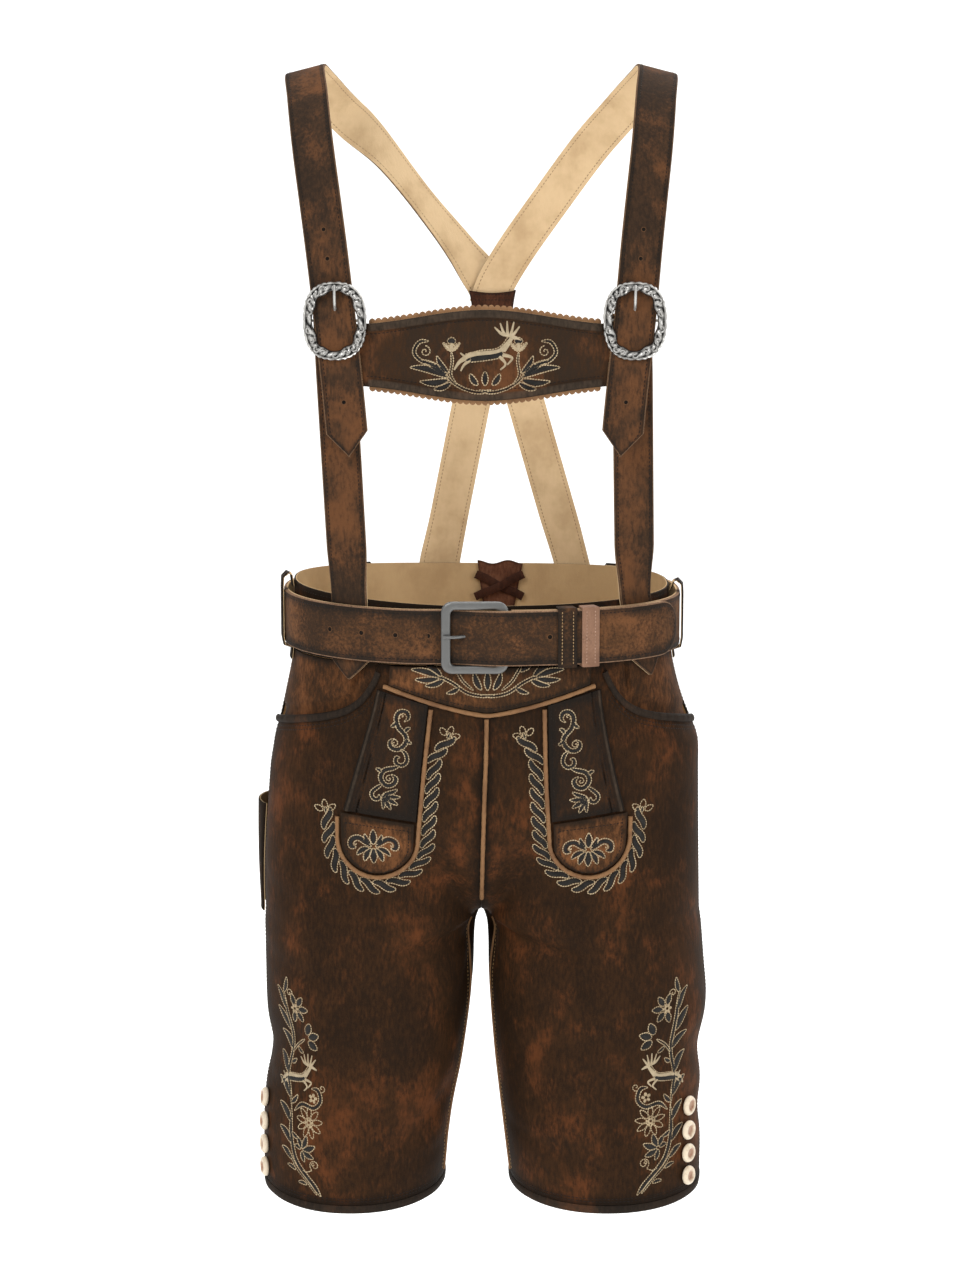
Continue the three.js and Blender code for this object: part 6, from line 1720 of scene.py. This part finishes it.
def stag(design, x, z, size, facing=1):
    """A leaping stag in cream satin over slate shadow, with many-pointed antlers."""
    def at(points):
        return [(x + facing * size * px, z + size * pz) for px, pz in points]

    def limb(points, widths, silk="cream"):
        half = np.interp(np.linspace(0, 1, 16), np.linspace(0, 1, len(widths)), widths) * size
        design[silk].append((bow(at(points), 16), half))
    limb([(-15, -3.4), (-8, -1.6), (0, -0.6), (9, 1.6)], [1.4, 2.5, 2.2, 2.9], "slate")
    limb([(-17, -2.4), (-12, 0.4), (-4, 1.4), (5, 2.2), (11, 4.8)], [1.0, 2.3, 1.7, 1.9, 2.0])
    limb([(9, 3.6), (12.6, 8), (15.4, 12)], [2.6, 1.9, 1.3])
    limb([(14, 12.4), (17.4, 11.8), (21.4, 10)], [1.5, 1.5, 0.6])
    limb([(-15, -1), (-20, -4.6), (-23.4, -9.6)], [2.2, 1.3, 0.7])
    limb([(-12, -2.4), (-16.6, -6.2), (-19, -10.4)], [1.6, 1.0, 0.6])
    limb([(9, 0.6), (15.4, -1.6), (12.2, -6.2)], [1.5, 1.0, 0.6])
    limb([(7, -0.4), (11, -5.6), (7.6, -9.6)], [1.4, 0.9, 0.6])
    limb([(-16.4, -0.6), (-19.2, 1.8)], [0.9, 0.5])
    for tip in [(3.6, 19), (7.4, 21.6), (12, 23), (16.6, 22.4), (20.4, 19.4)]:
        limb([(14.2, 12.6), ((14.2 + tip[0]) / 2 - 0.6, 14.6), tip], [0.9, 1.2, 0.5])
    design["chain"].append(bow(at([(-16, 0.8), (-6, 3.4), (4, 4.4), (9, 7.4), (12.6, 12.6)]), 20))
    design["chain"].append(bow(at([(-12, -4.4), (-4, -3.6), (4, -2.4), (10, -1)]), 16))


# The chest bar: crossing stems and leaf sprays, bell flowers and curls, and the stag above them.
design = new_design()
for s in (-1, 1):
    def spot(px, pz, s=s):
        return (2.3 + s * px, pz)
    vine(design, [spot(-5, 199.4), spot(4, 197.6), spot(14, 199.4), spot(23, 204), spot(31, 211.4)], 1.1)
    vine(design, [spot(22, 203.5), spot(26.6, 211), spot(25.4, 221), spot(26, 229)], 0.9)
    for base, tip, half, bend in [((28, 209), (59, 217), 2.9, 2.4), ((28, 207.6), (51, 206.2), 2.8, -2.0),
                                  ((26, 205.5), (40.5, 200.2), 2.1, -1.6),
                                  ((29, 210.6), (49.6, 223), 2.5, 1.0),
                                  ((28, 212.5), (37.5, 226.2), 2.2, -1.4)]:
        leaf(design, spot(*base), spot(*tip), half, bend * s)
    vine(design, [spot(38, 219.5), spot(48.6, 221.5), spot(55, 228.5), spot(51, 236.6),
                  spot(43.4, 237.4)], 1.3)
    curl(design, spot(46.4, 229.4), 4.6, 90, 1.4, s)
    for px, half in [(23.2, 1.6), (26, 2.2), (28.8, 1.6)]:
        leaf(design, spot(26, 229.4), spot(26 + (px - 26) * 2.4, 236.4), half, 0, "cream")
    cup = [spot(19, 236), spot(22.4, 231.4), spot(26, 229.8), spot(29.8, 231.4), spot(33, 236)]
    design["chain"].append(bow(cup, 16))
    leaf(design, spot(22.6, 237.4), spot(29.6, 237.4), 3.0)
    leaf(design, spot(5.4, 203.2), spot(11.6, 212.6), 2.4, -s)
leaf(design, (2.3, 202.6), (2.3, 214.4), 2.5)
stag(design, 5.4, 226.2, 1.16)
bar_surface = surface_of(bar)


def lay_bar(points):
    x, z = points.T
    y = bar_y((x - BAR["x"]) / BAR["half"])
    return settle(bar_surface, np.stack([x, y - 14, z], -1), np.stack([x, y, z], -1))


embroider("chest_bar_stag", design, lay_bar)

# The outer fronts of the legs: a stem climbs from the hem through broad leaves, a daisy, curls and
# a second stag to two flowers. Places are mm round the leg from its inner edge, and height.
for side, shift_x, rise in [(-1, 0.0, 0.0), (1, -5.0, 1.5)]:
    design = new_design()
    vine(design, [(0, -472), (7, -463), (17, -453), (27, -441), (32, -421), (31, -398)], 2.0)
    vine(design, [(31, -400), (35, -374), (32, -350), (34, -324), (39, -300)], 1.7)
    vine(design, [(4, -471), (14, -459.5), (25, -450), (35, -437)], 1.0)
    curl(design, (6, -445), 5.2, 300, 1.5, 1)
    curl(design, (7.4, -444.6), 2.2, 120, 1.0, -1)
    design["chain"].append(bow([(8.6, -449.6), (15, -452), (21, -449)], 10))
    for angle, long, half in [(205, 14, 2.7), (160, 15, 2.8), (112, 14, 2.7), (255, 11, 2.2), (60, 12, 2.4),
                              (15, 9, 2.0)]:
        way = np.array([math.cos(math.radians(angle)), math.sin(math.radians(angle))])
        leaf(design, np.array([19, -433]) + way, np.array([19, -433]) + way * long, half, 0.8)
    flower(design, np.array([11.5, -409.0]), 14.0, 9, 12, 2.3)
    flower(design, np.array([11.5, -409.0]), 4.2, 6, 0, 1.1, fill="cream")
    vine(design, [(28, -402), (19, -395), (7, -396.5), (0, -390), (2.4, -381), (9, -380.5)], 1.7)
    flower(design, np.array([7.4, -388.6]), 4.4, 5, 30, 1.3, fill="cream")
    curl(design, (-1.5, -379), 3.6, 300, 1.2, -1)
    stag(design, 24, -374, 0.98, -1)
    flower(design, np.array([15.0, -339.0]), 15, 3, 112, 3.5, 100, fill="slate")
    vine(design, [(32, -354), (26, -347), (16, -340)], 1.0)
    leaf(design, (25, -348), (17, -352), 1.6, 0.8)
    flower(design, np.array([24.0, -315.0]), 13, 5, 70, 2.8, 216, fill="slate")
    flower(design, np.array([25.0, -315.0]), 4.4, 6, 0, 1.2, fill="cream")
    curl(design, (31, -303), 4.0, 200, 1.3, -1)
    for base, tip, half, bend in [((35, -336), (48, -317), 3.4, 2.2), ((33, -352), (48, -338), 3.5, 2.4),
                                  ((35, -372), (50, -356), 3.6, 2.4), ((33, -392), (49, -377), 3.6, 2.4),
                                  ((32, -412), (48, -398), 3.5, 2.4), ((32, -430), (48, -418), 3.3, 2.4),
                                  ((36, -318), (48, -300), 2.9, 1.8), ((31, -444), (45, -435), 2.7, 1.6),
                                  ((31, -420), (22, -424), 1.8, 1.0), ((38, -304), (34, -290), 2.3, 0.8),
                                  ((32, -396), (24, -388), 2.0, 1.0), ((32, -362), (25, -358), 1.8, 0.8),
                                  ((26, -452), (37, -449), 1.7, 1.0), ((14, -463), (24, -462), 1.6, 1.0)]:
        leaf(design, base, tip, half, bend)

    def lay_leg(points, side=side, shift_x=shift_x, rise=rise):
        z = points[:, 1] + rise
        _, inner = front_around(side * 133.0 + shift_x + 0 * z, z)
        around = inner + points[:, 0] / AROUND
        return settle(body, skin(side, around, z, 12), skin(side, around, z, -3))
    embroider(f"leg_spray_{WORD[side]}", design, lay_leg)
